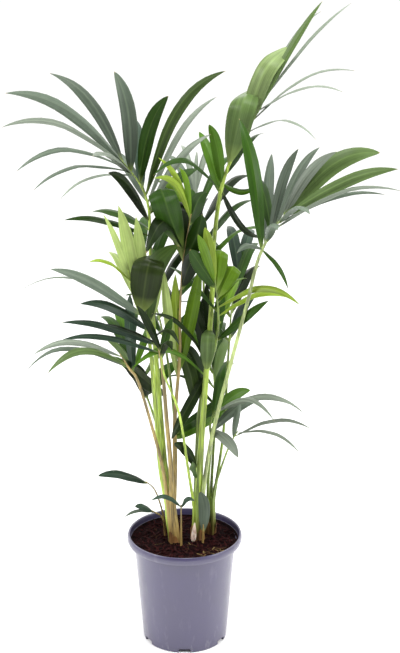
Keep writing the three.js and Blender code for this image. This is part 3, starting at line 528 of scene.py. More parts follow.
# Stems: foot and fork on the ground plan, flare at the foot, and radius at the fork.
STEMS = {
    "left": dict(foot=(-0.0185, -0.009), fork=(-0.025, -0.005), flare=0.0108, radius=0.0106),
    "middle": dict(foot=(0.024, 0.002), fork=(0.024, 0.002), flare=0.013, radius=0.0108),
    "right": dict(foot=(0.047, 0.026), fork=(0.048, 0.022), flare=0.0105, radius=0.0086),
}

GIRTH = (0.0029, 0.0021)  # a stalk's radius at its foot and where its rib begins
RIB_END = 0.0008  # a rib's radius at its end
FOOT_MARGIN = 0.0004  # between a stalk's foot and the outside of its stem's fork
SEEDLING_RADII = (0.002, 0.0011)
SHEATH_SUNK = 0.006  # how deep a sheath goes into the soil
SHEATH_OVERLAP = 0.004  # how far a sheath reaches up over its stalk's foot
STEM_HEIGHT = 0.07  # about how high the forks are above the soil
STEM_SCALES = 4  # papery scales round each stem's foot

# Half widths along a blade, as (share of the length, share of the width).
BLADES = {
    "long": [
        (0, 0.3), (0.03, 0.39), (0.07, 0.52), (0.12, 0.65), (0.18, 0.77), (0.25, 0.87),
        (0.33, 0.94), (0.41, 0.98), (0.49, 1), (0.57, 0.99), (0.65, 0.96), (0.73, 0.86),
        (0.8, 0.73), (0.86, 0.58), (0.91, 0.41), (0.95, 0.26), (0.98, 0.12), (1, 0.02),
    ],
    "broad": [
        (0, 0.26), (0.03, 0.39), (0.07, 0.54), (0.12, 0.68), (0.18, 0.8), (0.25, 0.89),
        (0.33, 0.96), (0.41, 0.99), (0.49, 1), (0.57, 0.99), (0.65, 0.96), (0.73, 0.88),
        (0.8, 0.78), (0.86, 0.64), (0.91, 0.49), (0.95, 0.34), (0.98, 0.18), (1, 0.03),
    ],
    "rolled": [
        (0, 0.16), (0.05, 0.28), (0.1, 0.47), (0.16, 0.66), (0.22, 0.8), (0.28, 0.9), (0.34, 0.96),
        (0.39, 0.98), (0.44, 1), (0.47, 1), (0.492, 1), (0.513, 1), (0.534, 0.99), (0.556, 0.99),
        (0.578, 0.98), (0.599, 0.98), (0.62, 0.97), (0.642, 0.96), (0.664, 0.95), (0.685, 0.93),
        (0.707, 0.91), (0.728, 0.89), (0.75, 0.86), (0.771, 0.83), (0.793, 0.79), (0.85, 0.66),
        (0.9, 0.53), (0.95, 0.34), (0.98, 0.18), (1, 0.03),
    ],
}
CURL_FROM, CURL_TO = 0.46, 0.76  # shares of the length between which a leaflet may roll under
BROAD_FROM = 0.16  # width for its length from which a leaflet has the broad outline
BLADE_COLUMNS = 4
BLADE_THICKNESS = 0.0005
ASIDE = 100  # where a blade's finished rows wait, so that no later pick finds them
DROOP_FROM = 0.55  # share of the length past which a leaflet droops
DROOP = 0.12  # its droop, times its reach and the square of the share past that
ARCH_PEAK = 2.6  # makes the highest point of the cubic s - s^3 equal to one
FOLD = ((0, 0.12, 0.4, 0.8, 1), (50, 34, 22, 17, 18))  # degrees below level of a blade's halves
# Degrees added to a leaflet's lean, one after the other, until it is clear of what is there. One
# that is never clear is left out.
LEAN_TRIALS = (0, 4, -4, 8, -8, 12, -12, 17, -17, 23, -23, 30, -30)
SEED = 11

FOOT_EDGE = 0.0012  # how far the pot's foot is rounded off
FOOT_RING = 0.062  # inner radius of the foot ring
CHANNEL = 0.0312  # width of the channel inside the foot ring
CHANNEL_DEPTH = 0.004
RIM_ROLL = 0.0032  # how far the rim's roll stands out
RIM_WIDTH = 0.0055  # the rim, seen from above
NOTCHES = 6
NOTCH = (0.03, 0.022, 0.016)  # the cutter for a drain notch

SOIL_SIDE = ((0.0885, 0.17), (0.0895, 0.183), (0.0925, 0.188))  # radius and height up the soil's side
SOIL_RINGS = 26  # rings of faces in the soil's top
SOIL_INSET = 0.0064  # from the rim's outside to the inside of the lip, with a hair of room

# The husk's outline, as (share of the height, share of the radius).
HUSK = ((0.1, 0.9), (0.25, 1), (0.42, 0.94), (0.58, 0.76), (0.74, 0.52), (0.88, 0.34), (0.97, 0.2))

FLOOR_SIZE = 60
LENS = 87  # millimetres
CAMERA_X = 0.028
BACKDROP = 1.5  # brightness of the studio behind the plant
FRONT = 0.3  # brightness of the studio in front of the plant
LIT_POINT = (0.02, 0, 0.6)  # the point that the lights face
LIGHTS = (  # name, place, size and power
    ("left", (-2.2, -1.1, 1.9), 1.6, 66),
    ("right", (2.3, -1.0, 1.7), 1.6, 60),
    ("top", (0.2, -0.4, 3.3), 1.5, 62),
)

# ---------------------------------------------------------------------------
# Sizes and colours that a user may change
# ---------------------------------------------------------------------------


def length(name, description, default):
    return bpy.props.FloatProperty(
        name=name, description=description, default=default, min=0, precision=4, unit="LENGTH"
    )


def colour(name, description, red, green, blue):
    """A colour property, given as it looks on a screen from 0 to 255."""
    return bpy.props.FloatVectorProperty(
        name=name,
        description=description,
        subtype="COLOR",
        min=0,
        max=1,
        default=[screen_to_linear(value / 255) for value in (red, green, blue)],
    )


def screen_to_linear(value):
    return value / 12.92 if value <= 0.04045 else ((value + 0.055) / 1.055) ** 2.4


class PalmPot(bpy.types.PropertyGroup):
    """The nursery pot"""

    rim_radius: length("Rim radius", "Outer radius of the rim", POT_HIGH.x)
    height: length("Height", "From the underside to the top of the rim", POT_HIGH.z)
    rim_height: length("Rim height", "Depth of the rolled rim", 0.014)
    wall: length("Wall", "Thickness of the wall", 0.002)
    top_radius: length("Top radius", "Wall radius just under the rim", 0.0925)
    foot_radius: length("Foot radius", "Wall radius at the foot", 0.077)
    plastic: colour("Plastic", "Moulded plastic", 56, 51, 83)


class PalmSoil(bpy.types.PropertyGroup):
    """The potting soil"""

    relief: length("Relief", "Height of the soil's unevenness", 0.007)
    crumbs: bpy.props.IntProperty(
        name="Crumbs", description="Loose crumbs that lie on the soil", default=520, min=0
    )
    shards: bpy.props.IntProperty(
        name="Bark", description="Shards of bark that lie on the soil", default=170, min=0
    )
    fibres: bpy.props.IntProperty(
        name="Fibres", description="Thin fibres that lie on the soil", default=70, min=0
    )
    dark: colour("Dark", "Moist hollows", 12, 2, 3)
    light: colour("Light", "Drier crumbs", 52, 19, 19)
    straw: colour("Straw", "Pale bits of straw", 104, 88, 56)


class PalmStalks(bpy.types.PropertyGroup):
    """The stems and the leaf stalks"""

    lime: colour("Lime", "Young stalks", 142, 165, 62)
    pale: colour("Pale", "Young stalks, bloomed", 142, 156, 96)
    green: colour("Green", "Older stalks", 100, 120, 46)
    tan: colour("Tan", "Ageing stalks and sheaths", 136, 118, 66)
    sheath: colour("Sheath", "Dry sheaths at the foot", 124, 88, 50)
    husk: colour("Husk", "Old seed husk", 226, 206, 190)


class PalmLeaves(bpy.types.PropertyGroup):
    """The leaflets"""

    dark: colour("Dark", "Leaflets in the shade of the crown", 19, 32, 8)
    deep: colour("Deep", "Old leaflets", 36, 62, 13)
    slate: colour("Slate", "Old leaflets, bluish", 43, 60, 47)
    bronze: colour("Bronze", "Old leaflets, bronzed", 37, 49, 18)
    olive: colour("Olive", "Leaflets in their prime, in the light", 48, 66, 26)
    mid: colour("Middle", "Full grown leaflets", 60, 92, 20)
    soft: colour("Soft", "Full grown leaflets, bloomed", 78, 98, 54)
    # Milky is partly the leaflets' pale bloom and partly painted sheen, the white studio reflected in
    # them.
    milky: colour("Milky", "Leaflets with a pale bloom", 118, 137, 86)
    fresh: colour("Fresh", "Young leaflets", 80, 110, 20)
    # Bright is partly the young leaflets' own colour and partly a painted glow of light shining through
    # them.
    bright: colour("Bright", "Youngest leaflets", 120, 142, 46)
    # Grey and Silver are partly the leaflets' bloom and partly painted sheen, the white studio
    # reflected in them.
    grey: colour("Grey", "Leaflets with a grey bloom", 79, 90, 77)
    silver: colour("Silver", "Leaflets with a silver bloom", 107, 116, 103)
    # Pale is partly the leaflets' own lack of chlorophyll and partly a painted glow of light shining
    # through them.
    pale: colour("Pale", "Leaflets short of chlorophyll", 143, 161, 94)
    joint: colour("Joint", "Where a leaflet leaves its rib", 126, 144, 74)
    underside: bpy.props.FloatProperty(
        name="Underside", description="How much paler the underside is", default=0.05, min=0, max=1,
        subtype="FACTOR",
    )
    tip: colour("Tip", "Dry tips", 150, 128, 84)


class PalmStage(bpy.types.PropertyGroup):
    """The floor, the light and the camera"""

    floor: colour("Floor", "Plain pale floor", 251, 251, 251)
    distance: length("Distance", "From the plant's axis to the camera", 2.6)
    eye_height: length("Eye height", "Height of the camera", 1.5)
    tilt: bpy.props.FloatProperty(
        name="Tilt", description="How far the camera looks down", default=math.radians(19.04),
        subtype="ANGLE", unit="ROTATION",
    )


TONES = (
    "dark", "deep", "slate", "bronze", "olive", "mid", "soft", "milky", "fresh", "bright",
    "grey", "silver", "pale",
)
GROUPS = {
    "palm_pot": PalmPot,
    "palm_soil": PalmSoil,
    "palm_stalks": PalmStalks,
    "palm_leaves": PalmLeaves,
    "palm_stage": PalmStage,
}

# ---------------------------------------------------------------------------
# Selecting and shaping
# ---------------------------------------------------------------------------


def only(*objects):
    """Selects these objects and nothing else, the last of them active."""
    bpy.ops.object.select_all(action="DESELECT")
    for obj in objects:
        obj.select_set(True)
    bpy.context.view_layer.objects.active = objects[-1]


def edit(obj):
    only(obj)
    bpy.ops.object.mode_set(mode="EDIT")


def done():
    bpy.ops.object.mode_set(mode="OBJECT")
    return bpy.context.object


def pick(kind, test):
    """Selects the vertices, edges or faces of the mesh being edited that pass a test."""
    bpy.ops.mesh.select_mode(type=kind)
    bpy.ops.mesh.select_all(action="DESELECT")
    data = bpy.context.object.data
    mesh = bmesh.from_edit_mesh(data)
    for item in {"VERT": mesh.verts, "EDGE": mesh.edges, "FACE": mesh.faces}[kind]:
        if test(item):
            item.select_set(True)
    mesh.select_flush_mode()
    bmesh.update_edit_mesh(data)


def start(add, name, **values):
    """Adds a primitive with everything else deselected, and names it."""
    bpy.ops.object.select_all(action="DESELECT")
    add(**values)
    obj = bpy.context.object
    obj.name = name
    obj.data.name = name
    return obj


def grow(radius, height, rings, shift=(0, 0)):
    """Carries the selected end face on through rings, each given as (radius, height)."""
    for next_radius, next_height in rings:
        rise = next_height - height
        bpy.ops.mesh.extrude_region_move(
            TRANSFORM_OT_translate={"value": (shift[0] * rise, shift[1] * rise, rise)}
        )
        centre = selection_centre()
        scale = next_radius / radius
        bpy.ops.transform.resize(value=(scale, scale, 1), center_override=centre)
        radius, height = next_radius, next_height


def selection_centre():
    mesh = bmesh.from_edit_mesh(bpy.context.object.data)
    places = [vertex.co for vertex in mesh.verts if vertex.select]
    return sum(places, Vector()) / len(places)


def modify(obj, kind, **values):
    """Adds a modifier and applies it."""
    only(obj)
    modifier = obj.modifiers.new(kind.title(), kind)
    for key, value in values.items():
        setattr(modifier, key, value)
    bpy.ops.object.modifier_apply(modifier=modifier.name)


def settle(obj):
    """Puts an object's place, turn and size into its mesh."""
    only(obj)
    bpy.ops.object.transform_apply(location=True, rotation=True, scale=True)


def smooth(obj, degrees):
    only(obj)
    bpy.ops.object.shade_smooth_by_angle(angle=math.radians(degrees))


def join(parts, name):
    """Joins objects into one with a plain name."""
    only(*parts)
    bpy.ops.object.join()
    whole = bpy.context.object
    whole.name = name
    whole.data.name = name
    return whole


def copy(model, place=Matrix()):
    """A copy with its own mesh, its place already in the mesh."""
    twin = model.copy()
    twin.data = model.data.copy()
    twin.data.transform(place)
    bpy.context.scene.collection.objects.link(twin)
    return twin


def dress(obj, *materials):
    obj.data.materials.clear()
    for material in materials:
        obj.data.materials.append(material)


def remove(*objects):
    only(*objects)
    bpy.ops.object.delete()


def finish(obj, slot, *nodes):
    """Says what a finished piece rides on and stands for; the slot it is given is not used."""
    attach(obj, "root")
    if nodes:
        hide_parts(*nodes)


# ---------------------------------------------------------------------------
# Materials
# ---------------------------------------------------------------------------


def node(tree, kind, inputs=None, **settings):
    """Adds a shader node. An input is a number, a colour or another node's output."""
    made = tree.nodes.new("ShaderNode" + kind)
    for key, value in settings.items():
        setattr(made, key, value)
    for key, value in (inputs or {}).items():
        if isinstance(value, bpy.types.NodeSocket):
            tree.links.new(value, made.inputs[key])
        else:
            made.inputs[key].default_value = value
    return made


def maths(tree, operation, *values):
    return node(tree, "Math", dict(enumerate(values)), operation=operation).outputs[0]


def ranged(tree, value, low, high, new_low, new_high):
    inputs = {"Value": value, "From Min": low, "From Max": high, "To Min": new_low, "To Max": new_high}
    return node(tree, "MapRange", inputs, clamp=True).outputs[0]


def noise(tree, place, scale, detail=3, roughness=0.55):
    inputs = {"Vector": place, "Scale": scale, "Detail": detail, "Roughness": roughness}
    return node(tree, "TexNoise", inputs).outputs[0]


def stretched(tree, place, scale):
    return node(tree, "Mapping", {"Vector": place, "Scale": scale}).outputs[0]


def ramp(tree, value, *stops):
    """A colour ramp through stops, each given as (place, colour)."""
    made = node(tree, "ValToRGB", {"Fac": value})
    elements = made.color_ramp.elements
    while len(elements) < len(stops):
        elements.new(0.5)
    for element, (place, tint) in zip(elements, stops):
        element.position = place
        element.color = (*tint, 1)
    return made.outputs[0]


def mix(tree, share, first, second):
    """Mixes two colours. Either may be another node's output."""
    made = node(tree, "Mix", {0: share}, data_type="RGBA")
    for socket, value in ((made.inputs[6], first), (made.inputs[7], second)):
        if isinstance(value, bpy.types.NodeSocket):
            tree.links.new(value, socket)
        else:
            socket.default_value = (*value, 1)
    return made.outputs[2]


def shade(base, factor):
    """A colour made lighter or darker."""
    return tuple(min(value * factor, 1) for value in base)


def towards(first, second, share):
    return tuple(a + (b - a) * share for a, b in zip(first, second))


def new_material(name, **sockets):
    """A material, its node tree and its shader, with plain values set on the shader's own sockets."""
    material = bpy.data.materials.new(name)
    material.use_nodes = True
    tree = material.node_tree
    shader = tree.nodes["Principled BSDF"]
    for key, value in sockets.items():
        shader.inputs[key.replace("_", " ")].default_value = value
    return material, tree, shader


def wire(tree, shader, base, roughness=None, height=None, strength=0.3, distance=0.001):
    """Links a pattern's colour, roughness and relief to a shader."""
    tree.links.new(base, shader.inputs["Base Color"])
    if roughness is not None:
        tree.links.new(roughness, shader.inputs["Roughness"])
    if height is not None:
        relief = node(tree, "Bump", {"Height": height, "Strength": strength, "Distance": distance})
        tree.links.new(relief.outputs[0], shader.inputs["Normal"])


def object_place(tree):
    return node(tree, "TexCoord").outputs["Object"]


def pot_plastic():
    base = tuple(bpy.context.scene.palm_pot.plastic)
    material, tree, shader = new_material("pot_plastic", Coat_Weight=0.8, Coat_Roughness=0.2)
    place = object_place(tree)
    clouds = noise(tree, place, 14)
    grain = noise(tree, place, 900, 2)
    height = node(tree, "SeparateXYZ", {0: place}).outputs[2]
    dust = noise(tree, stretched(tree, place, (60, 60, 14)), 1, 4, 0.7)
    value = maths(tree, "MULTIPLY_ADD", clouds, 0.7, maths(tree, "MULTIPLY", grain, 0.3))
    plain = ramp(tree, value, (0.3, shade(base, 0.9)), (0.5, base), (0.72, shade(base, 1.09)))
    specks = ranged(tree, dust, 0.55, 0.75, 0, 1)
    worn = maths(tree, "MULTIPLY", specks, ranged(tree, height, 0, 0.05, 0.4, 0.07))
    painted = mix(tree, worn, plain, towards(base, (0.7, 0.68, 0.7), 0.5))
    wire(tree, shader, painted, ranged(tree, clouds, 0.3, 0.7, 0.36, 0.5), grain, 0.25, 0.0003)
    return material


def soil_crust():
    colours = bpy.context.scene.palm_soil
    material, tree, shader = new_material("potting_soil", Specular_IOR_Level=0.05)
    place = object_place(tree)
    coarse = noise(tree, place, 110, 5, 0.7)
    fine = noise(tree, place, 520, 4, 0.7)
    value = maths(tree, "MULTIPLY_ADD", coarse, 0.65, maths(tree, "MULTIPLY", fine, 0.35))
    dark = tuple(colours.dark)
    light = tuple(colours.light)
    middle = towards(dark, light, 0.45)
    base = ramp(tree, value, (0.36, shade(dark, 0.5)), (0.47, dark), (0.58, middle), (0.7, light))
    wire(tree, shader, base, ranged(tree, fine, 0.3, 0.7, 0.62, 0.95), value, 0.9, 0.004)
    return material


def bits(name, base):
    """Bark, crumbs or fibres: one colour, mottled and rough."""
    material, tree, shader = new_material(name, Specular_IOR_Level=0.08)
    place = object_place(tree)
    value = noise(tree, place, 260, 4, 0.65)
    colours = ramp(tree, value, (0.3, shade(base, 0.45)), (0.5, base), (0.72, shade(base, 1.7)))
    wire(tree, shader, colours, ranged(tree, value, 0.3, 0.7, 0.6, 0.9), value, 0.6, 0.001)
    return material


def stalk_skin(name, base, foot, top_of_foot):
    """A stalk's skin: fine lengthwise streaks, and towards the foot the colour of its sheath."""
    material, tree, shader = new_material(name, Coat_Weight=0.12, Coat_Roughness=0.3)
    place = object_place(tree)
    streaks = noise(tree, stretched(tree, place, (420, 420, 7)), 1, 4, 0.6)
    blotches = noise(tree, stretched(tree, place, (50, 50, 9)), 1, 2)
    value = maths(tree, "MULTIPLY_ADD", streaks, 0.6, maths(tree, "MULTIPLY", blotches, 0.4))
    skin = ramp(tree, value, (0.41, shade(base, 0.45)), (0.5, base), (0.58, shade(base, 1.5)))
    height = node(tree, "SeparateXYZ", {0: place}).outputs[2]
    wavy = maths(tree, "MULTIPLY_ADD", blotches, 0.16, height)
    share = ranged(tree, wavy, SOIL_HIGH.z + 0.06, top_of_foot + 0.08, 1, 0)
    low = ramp(tree, value, (0.43, shade(foot, 0.3)), (0.5, shade(foot, 0.85)), (0.6, shade(foot, 1.3)))
    colours = mix(tree, share, skin, low)
    wire(tree, shader, colours, ranged(tree, streaks, 0.3, 0.7, 0.34, 0.55), streaks, 0.35, 0.0006)
    return material


def husk_skin():
    base = tuple(bpy.context.scene.palm_stalks.husk)
    material, tree, shader = new_material("husk_skin", Subsurface_Weight=0.1)
    place = object_place(tree)
    fibres = noise(tree, stretched(tree, place, (300, 300, 40)), 1, 5, 0.65)
    stains = noise(tree, place, 90, 3)
    value = maths(tree, "MULTIPLY_ADD", fibres, 0.6, maths(tree, "MULTIPLY", stains, 0.4))
    brown = towards(base, (0.2, 0.09, 0.05), 0.75)
    colours = ramp(tree, value, (0.38, brown), (0.5, shade(base, 0.86)), (0.64, base))
    wire(tree, shader, colours, ranged(tree, fibres, 0.3, 0.7, 0.55, 0.8), fibres, 0.7, 0.0012)
    return material


def leaf_skin(name, base, roughness, veins_show):
    """One side of a leaflet: veins along it, mottling, a paler midrib and joint, and a dry tip."""
    colours = bpy.context.scene.palm_leaves
    material, tree, shader = new_material(name, Specular_IOR_Level=0.13)
    place = object_place(tree)
    own = node(tree, "UVMap", uv_map="UVMap").outputs[0]
    u, v, _ = node(tree, "SeparateXYZ", {0: own}).outputs
    lines = {"Vector": own, "Scale": 4.4, "Distortion": 0.5, "Detail": 1, "Detail Scale": 3}
    veins = node(tree, "TexWave", lines, bands_direction="X").outputs["Fac"]
    mottle = noise(tree, place, 24, 4)
    tint = node(tree, "Attribute", attribute_name="tint").outputs["Fac"]
    shifted = node(tree, "CombineXYZ", {0: u, 1: v, 2: maths(tree, "MULTIPLY", tint, 9)}).outputs[0]
    # Pleat streaks: painted light and shade along the leaflet's pleats, together with streaks of its
    # grey bloom.
    pleat_shade_and_bloom = noise(tree, stretched(tree, shifted, (7, 0.7, 1)), 1, 3)
    # Mottle, pleat streaks and veins each come with half their strength off, so 0.5 is the plain
    # colour.
    value = maths(tree, "MULTIPLY_ADD", mottle, 0.35, 0.33 - veins_show / 2 - 0.4)
    value = maths(tree, "MULTIPLY_ADD", pleat_shade_and_bloom, 0.8, value)
    value = maths(tree, "MULTIPLY_ADD", veins, veins_show, value)
    value = maths(tree, "MULTIPLY_ADD", tint, 0.3, value)
    value = maths(tree, "MULTIPLY_ADD", v, 0.16, maths(tree, "SUBTRACT", value, 0.08))
    blade = ramp(tree, value, (0.2, shade(base, 0.55)), (0.5, base), (0.8, shade(base, 1.6)))
    off_middle = maths(tree, "ABSOLUTE", maths(tree, "SUBTRACT", u, 0.5))
    midrib = ranged(tree, off_middle, 0.01, 0.04, 0.18, 0)
    ribbed = mix(tree, midrib, blade, towards(shade(base, 1.5), (0.3, 0.38, 0.12), 0.3))
    jointed = mix(tree, ranged(tree, v, 0.02, 0.14, 0.7, 0), ribbed, tuple(colours.joint))
    tip = ranged(tree, v, 0.955, 0.995, 0, 0.8)
    gloss = ranged(tree, mottle, 0.3, 0.7, roughness - 0.05, roughness + 0.09)
    wire(tree, shader, mix(tree, tip, jointed, tuple(colours.tip)), gloss, veins, 0.08, 0.0008)
    return material


def palette():
    """The materials that several operators share, made once."""
    colours = bpy.context.scene.palm_leaves
    stalks = bpy.context.scene.palm_stalks
    if "stalk_sheath" in bpy.data.materials:
        return bpy.data.materials
    foot = tuple(stalks.sheath)
    for name in ("lime", "pale", "green", "tan"):
        base = tuple(getattr(stalks, name))
        stalk_skin("stalk_" + name, base, towards(foot, base, 0.35), STEM_FORK)
    stalk_skin("stalk_sheath", tuple(stalks.sheath), shade(tuple(stalks.sheath), 0.7), STEM_FORK)
    bloom = (0.62, 0.66, 0.5)
    for tone in TONES:
        base = tuple(getattr(colours, tone))
        leaf_skin("leaflet_" + tone, base, 0.32, 0.07)
        leaf_skin("leaflet_" + tone + "_under", towards(base, bloom, colours.underside), 0.5, 0.24)
    return bpy.data.materials


# ---------------------------------------------------------------------------
# Curves and leaflets
# ---------------------------------------------------------------------------


def run_value(run, share):
    """The value of a run of one, two or three numbers at a share of the way along it."""
    if not isinstance(run, tuple):
        return run
    if len(run) == 2:
        return run[0] + (run[1] - run[0]) * share
    first, middle, last = run
    rise = 4 * share * (1 - share)
    return first * (1 - share) * (1 - 2 * share) + middle * rise + last * share * (2 * share - 1)


class Path:
    """A centripetal curve through points, read at a share of its length."""

    STEPS = 80

    def __init__(self, points):
        points = [np.array(point, float) for point in points]
        points = [2 * points[0] - points[1], *points, 2 * points[-1] - points[-2]]
        stretches = [self.stretch(*points[i : i + 4]) for i in range(len(points) - 3)]
        self.places = np.vstack([*stretches, points[-2]])
        steps = np.linalg.norm(np.diff(self.places, axis=0), axis=1)
        self.length = steps.sum()
        self.shares = np.concatenate([[0], np.cumsum(steps)]) / self.length

    def stretch(self, before, start_point, end_point, after):
        gaps = [
            math.sqrt(np.linalg.norm(b - a))
            for a, b in ((before, start_point), (start_point, end_point), (end_point, after))
        ]
        first = (start_point - before) / gaps[0] - (end_point - before) / (gaps[0] + gaps[1])
        first = (first + (end_point - start_point) / gaps[1]) * gaps[1]
        last = (end_point - start_point) / gaps[1] - (after - start_point) / (gaps[1] + gaps[2])
        last = (last + (after - end_point) / gaps[2]) * gaps[1]
        t = np.linspace(0, 1, self.STEPS, endpoint=False)[:, None]
        square = -3 * start_point + 3 * end_point - 2 * first - last
        cube = 2 * start_point - 2 * end_point + first + last
        return start_point + first * t + square * t**2 + cube * t**3

    def at(self, share):
        return np.array([np.interp(share, self.shares, self.places[:, k]) for k in range(3)])

    def share_nearest(self, point):
        return self.shares[np.argmin(np.linalg.norm(self.places - np.array(point), axis=1))]


def seat(stand, foot_radius):
    """Where a stalk stands on its stem's fork: in the middle, or against the outside of it."""
    stem_name, place = stand
    stem = STEMS[stem_name]
    out = 0 if place is None else stem["radius"] - foot_radius - FOOT_MARGIN
    angle = math.radians(place or 0)
    x, y = stem["fork"]
    return (x + out * math.cos(angle), y + out * math.sin(angle), STEM_FORK)


def tube(name, points, radii, material, sides):
    """A round limb through points with a radius at each, as a closed mesh."""
    curve = bpy.data.curves.new(name, "CURVE")
    curve.dimensions = "3D"
    curve.bevel_depth = 1
    curve.bevel_resolution = sides // 2 - 1
    curve.use_fill_caps = True
    spline = curve.splines.new("POLY")
    spline.points.add(len(points) - 1)
    for point, place, radius in zip(spline.points, points, radii):
        point.co = (*place, 1)
        point.radius = radius
    obj = bpy.data.objects.new(name, curve)
    bpy.context.scene.collection.objects.link(obj)
    only(obj)
    bpy.ops.object.convert(target="MESH")
    obj = bpy.context.object
    dress(obj, material)
    smooth(obj, 50)
    return obj


def blade_model(name, outline):
    """A flat blade of unit length and half width: drawn in row by row, then given its thickness."""
    rows = len(outline) - 1
    blade = start(
        bpy.ops.mesh.primitive_grid_add, name, x_subdivisions=BLADE_COLUMNS, y_subdivisions=rows, size=2
    )
    edit(blade)
    bpy.ops.transform.translate(value=(0, 1, 0))
    bpy.ops.transform.resize(value=(1, 0.5, 1), center_override=(0, 0, 0))
    for row, (place, width) in reversed(list(enumerate(outline))):
        at = row / rows
        pick("VERT", lambda vertex, at=at: abs(vertex.co.y - at) < 1e-4)
        bpy.ops.transform.resize(value=(width, 1, 1), center_override=(0, at, 0))
        if place != at:
            bpy.ops.transform.translate(value=(0, ASIDE + place - at, 0))
    pick("VERT", lambda vertex: vertex.co.y > ASIDE / 2)
    bpy.ops.transform.translate(value=(0, -ASIDE, 0))
    pick("EDGE", lambda edge: all(abs(vertex.co.x) < 1e-6 for vertex in edge.verts))
    bpy.ops.mesh.mark_sharp()
    done()
    modify(
        blade, "SOLIDIFY",
        thickness=BLADE_THICKNESS, offset=-1, material_offset=1, material_offset_rim=0,
    )
    smooth(blade, 40)
    return blade


class Blade:
    """A blade's model, with its mesh as numbers, ready to be laid along a leaflet's midline."""

    def __init__(self, name, outline):
        self.model = blade_model(name, outline)
        mesh = self.model.data
        places = np.empty(len(mesh.vertices) * 3)
        mesh.vertices.foreach_get("co", places)
        self.x, self.s, self.z = places.reshape(-1, 3).T
        self.faces = [tuple(face.vertices) for face in mesh.polygons]

    def laid(self, root, leaf):
        """The places of a leaflet's vertices, once it is arched, rolled, twisted and folded."""
        heading, lean = math.radians(leaf["heading"]), math.radians(leaf["lean"])
        chord = np.array([
            math.sin(heading) * math.cos(lean), -math.sin(lean), math.cos(heading) * math.cos(lean)
        ])
        up = np.array([0.0, 0.0, 1.0])
        rise = unit(up - chord * chord[2])
        s = np.linspace(0, 1, 61)[:, None]
        reach, arch = leaf["reach"], leaf["arch"] * ARCH_PEAK
        hang = np.clip(s - DROOP_FROM, 0, None)
        droop = DROOP * reach
        middle = root + chord * reach * s + rise * arch * (s - s**3) - up * droop * hang**2
        along = unit(chord * reach + rise * arch * (1 - 3 * s**2) - up * 2 * droop * hang)
        face, turn = math.radians(leaf["face"]), math.radians(leaf["turn"])
        facing = np.array([
            math.sin(turn) * math.cos(face), -math.cos(turn) * math.cos(face), math.sin(face)
        ])
        side = unit(np.cross(chord, facing))
        middle, along = rolled_under(middle, along, side, math.radians(leaf["curl"]))
        middle, along = (
            np.column_stack([np.interp(self.s, s[:, 0], values[:, k]) for k in range(3)])
            for values in (middle, along)
        )
        along = unit(along)
        across = unit(side - along * (along @ side)[:, None])
        under = np.cross(along, across)
        s = self.s[:, None]
        roll = np.radians(leaf["twist"]) * s**1.5
        across, under = (
            across * np.cos(roll) + under * np.sin(roll),
            under * np.cos(roll) - across * np.sin(roll),
        )
        fold = np.radians(np.interp(self.s, *FOLD))[:, None] * leaf["fold"]
        x = self.x[:, None] * leaf["width"] / 2
        ripple = leaf["ripple"] * np.sin(2 * math.pi * (2.3 * s + leaf["phase"])) * self.x[:, None] ** 2
        crown = 0.25 * np.abs(x) * (1 - np.abs(self.x[:, None]))
        depth = np.abs(x) * np.sin(fold) - crown + ripple * np.sin(math.pi * s) - self.z[:, None]
        return middle + across * x * np.cos(fold) + under * depth


def unit(vectors):
    return vectors / np.linalg.norm(vectors, axis=-1, keepdims=True)


def rolled_under(middle, along, side, angle):
    """A midline and its directions, with the outer part of it rolled towards the blade's underside."""
    s = np.linspace(0, 1, len(middle))[:, None]
    outer = np.clip((s - CURL_FROM) / (CURL_TO - CURL_FROM), 0, 1)
    bend = angle * outer * outer * (3 - 2 * outer)
    under = unit(np.cross(along, side))
    turned = along * np.cos(bend) + under * np.sin(bend)
    steps = np.linalg.norm(np.diff(middle, axis=0), axis=1)[:, None] * (turned[1:] + turned[:-1]) / 2
    return middle[0] + np.vstack([np.zeros(3), np.cumsum(steps, axis=0)]), turned


def fan_leaves(fan, chance):
    """The leaflets of a fan, each with its own values and a little of its own habit."""
    values = {"face": FROND_FACE, "turn": FROND_TURN, "curl": 0, "fold": 1, **fan}
    tones = values.pop("tones").split()
    count = values.pop("leaves")
    leaves = []
    for i in range(count):
        share = i / (count - 1) if count > 1 else 0
        leaf = {key: run_value(run, share) for key, run in values.items()}
        leaf.setdefault("twist", chance.uniform(-26, 26))
        leaf["fold"] *= chance.uniform(0.75, 1.3)
        leaf["ripple"] = chance.uniform(0.0004, 0.0014)
        leaf["phase"] = chance.random()
        leaf["tint"] = chance.uniform(-0.5, 0.5)
        leaf["tone"] = tones[i % len(tones)]
        leaves.append(leaf)
    return leaves


class Tree:
    """A shape to keep clear of, as its box and a search tree of its faces."""

    def __init__(self, places, faces):
        self.low, self.high = places.min(0), places.max(0)
        self.faces = BVHTree.FromPolygons(places.tolist(), faces)

    def meets(self, other):
        if (self.low > other.high).any() or (other.low > self.high).any():
            return False
        return bool(self.faces.overlap(other.faces))

    @classmethod
    def of_object(cls, obj):
        places = np.empty(len(obj.data.vertices) * 3)
        obj.data.vertices.foreach_get("co", places)
        return cls(places.reshape(-1, 3), [tuple(face.vertices) for face in obj.data.polygons])


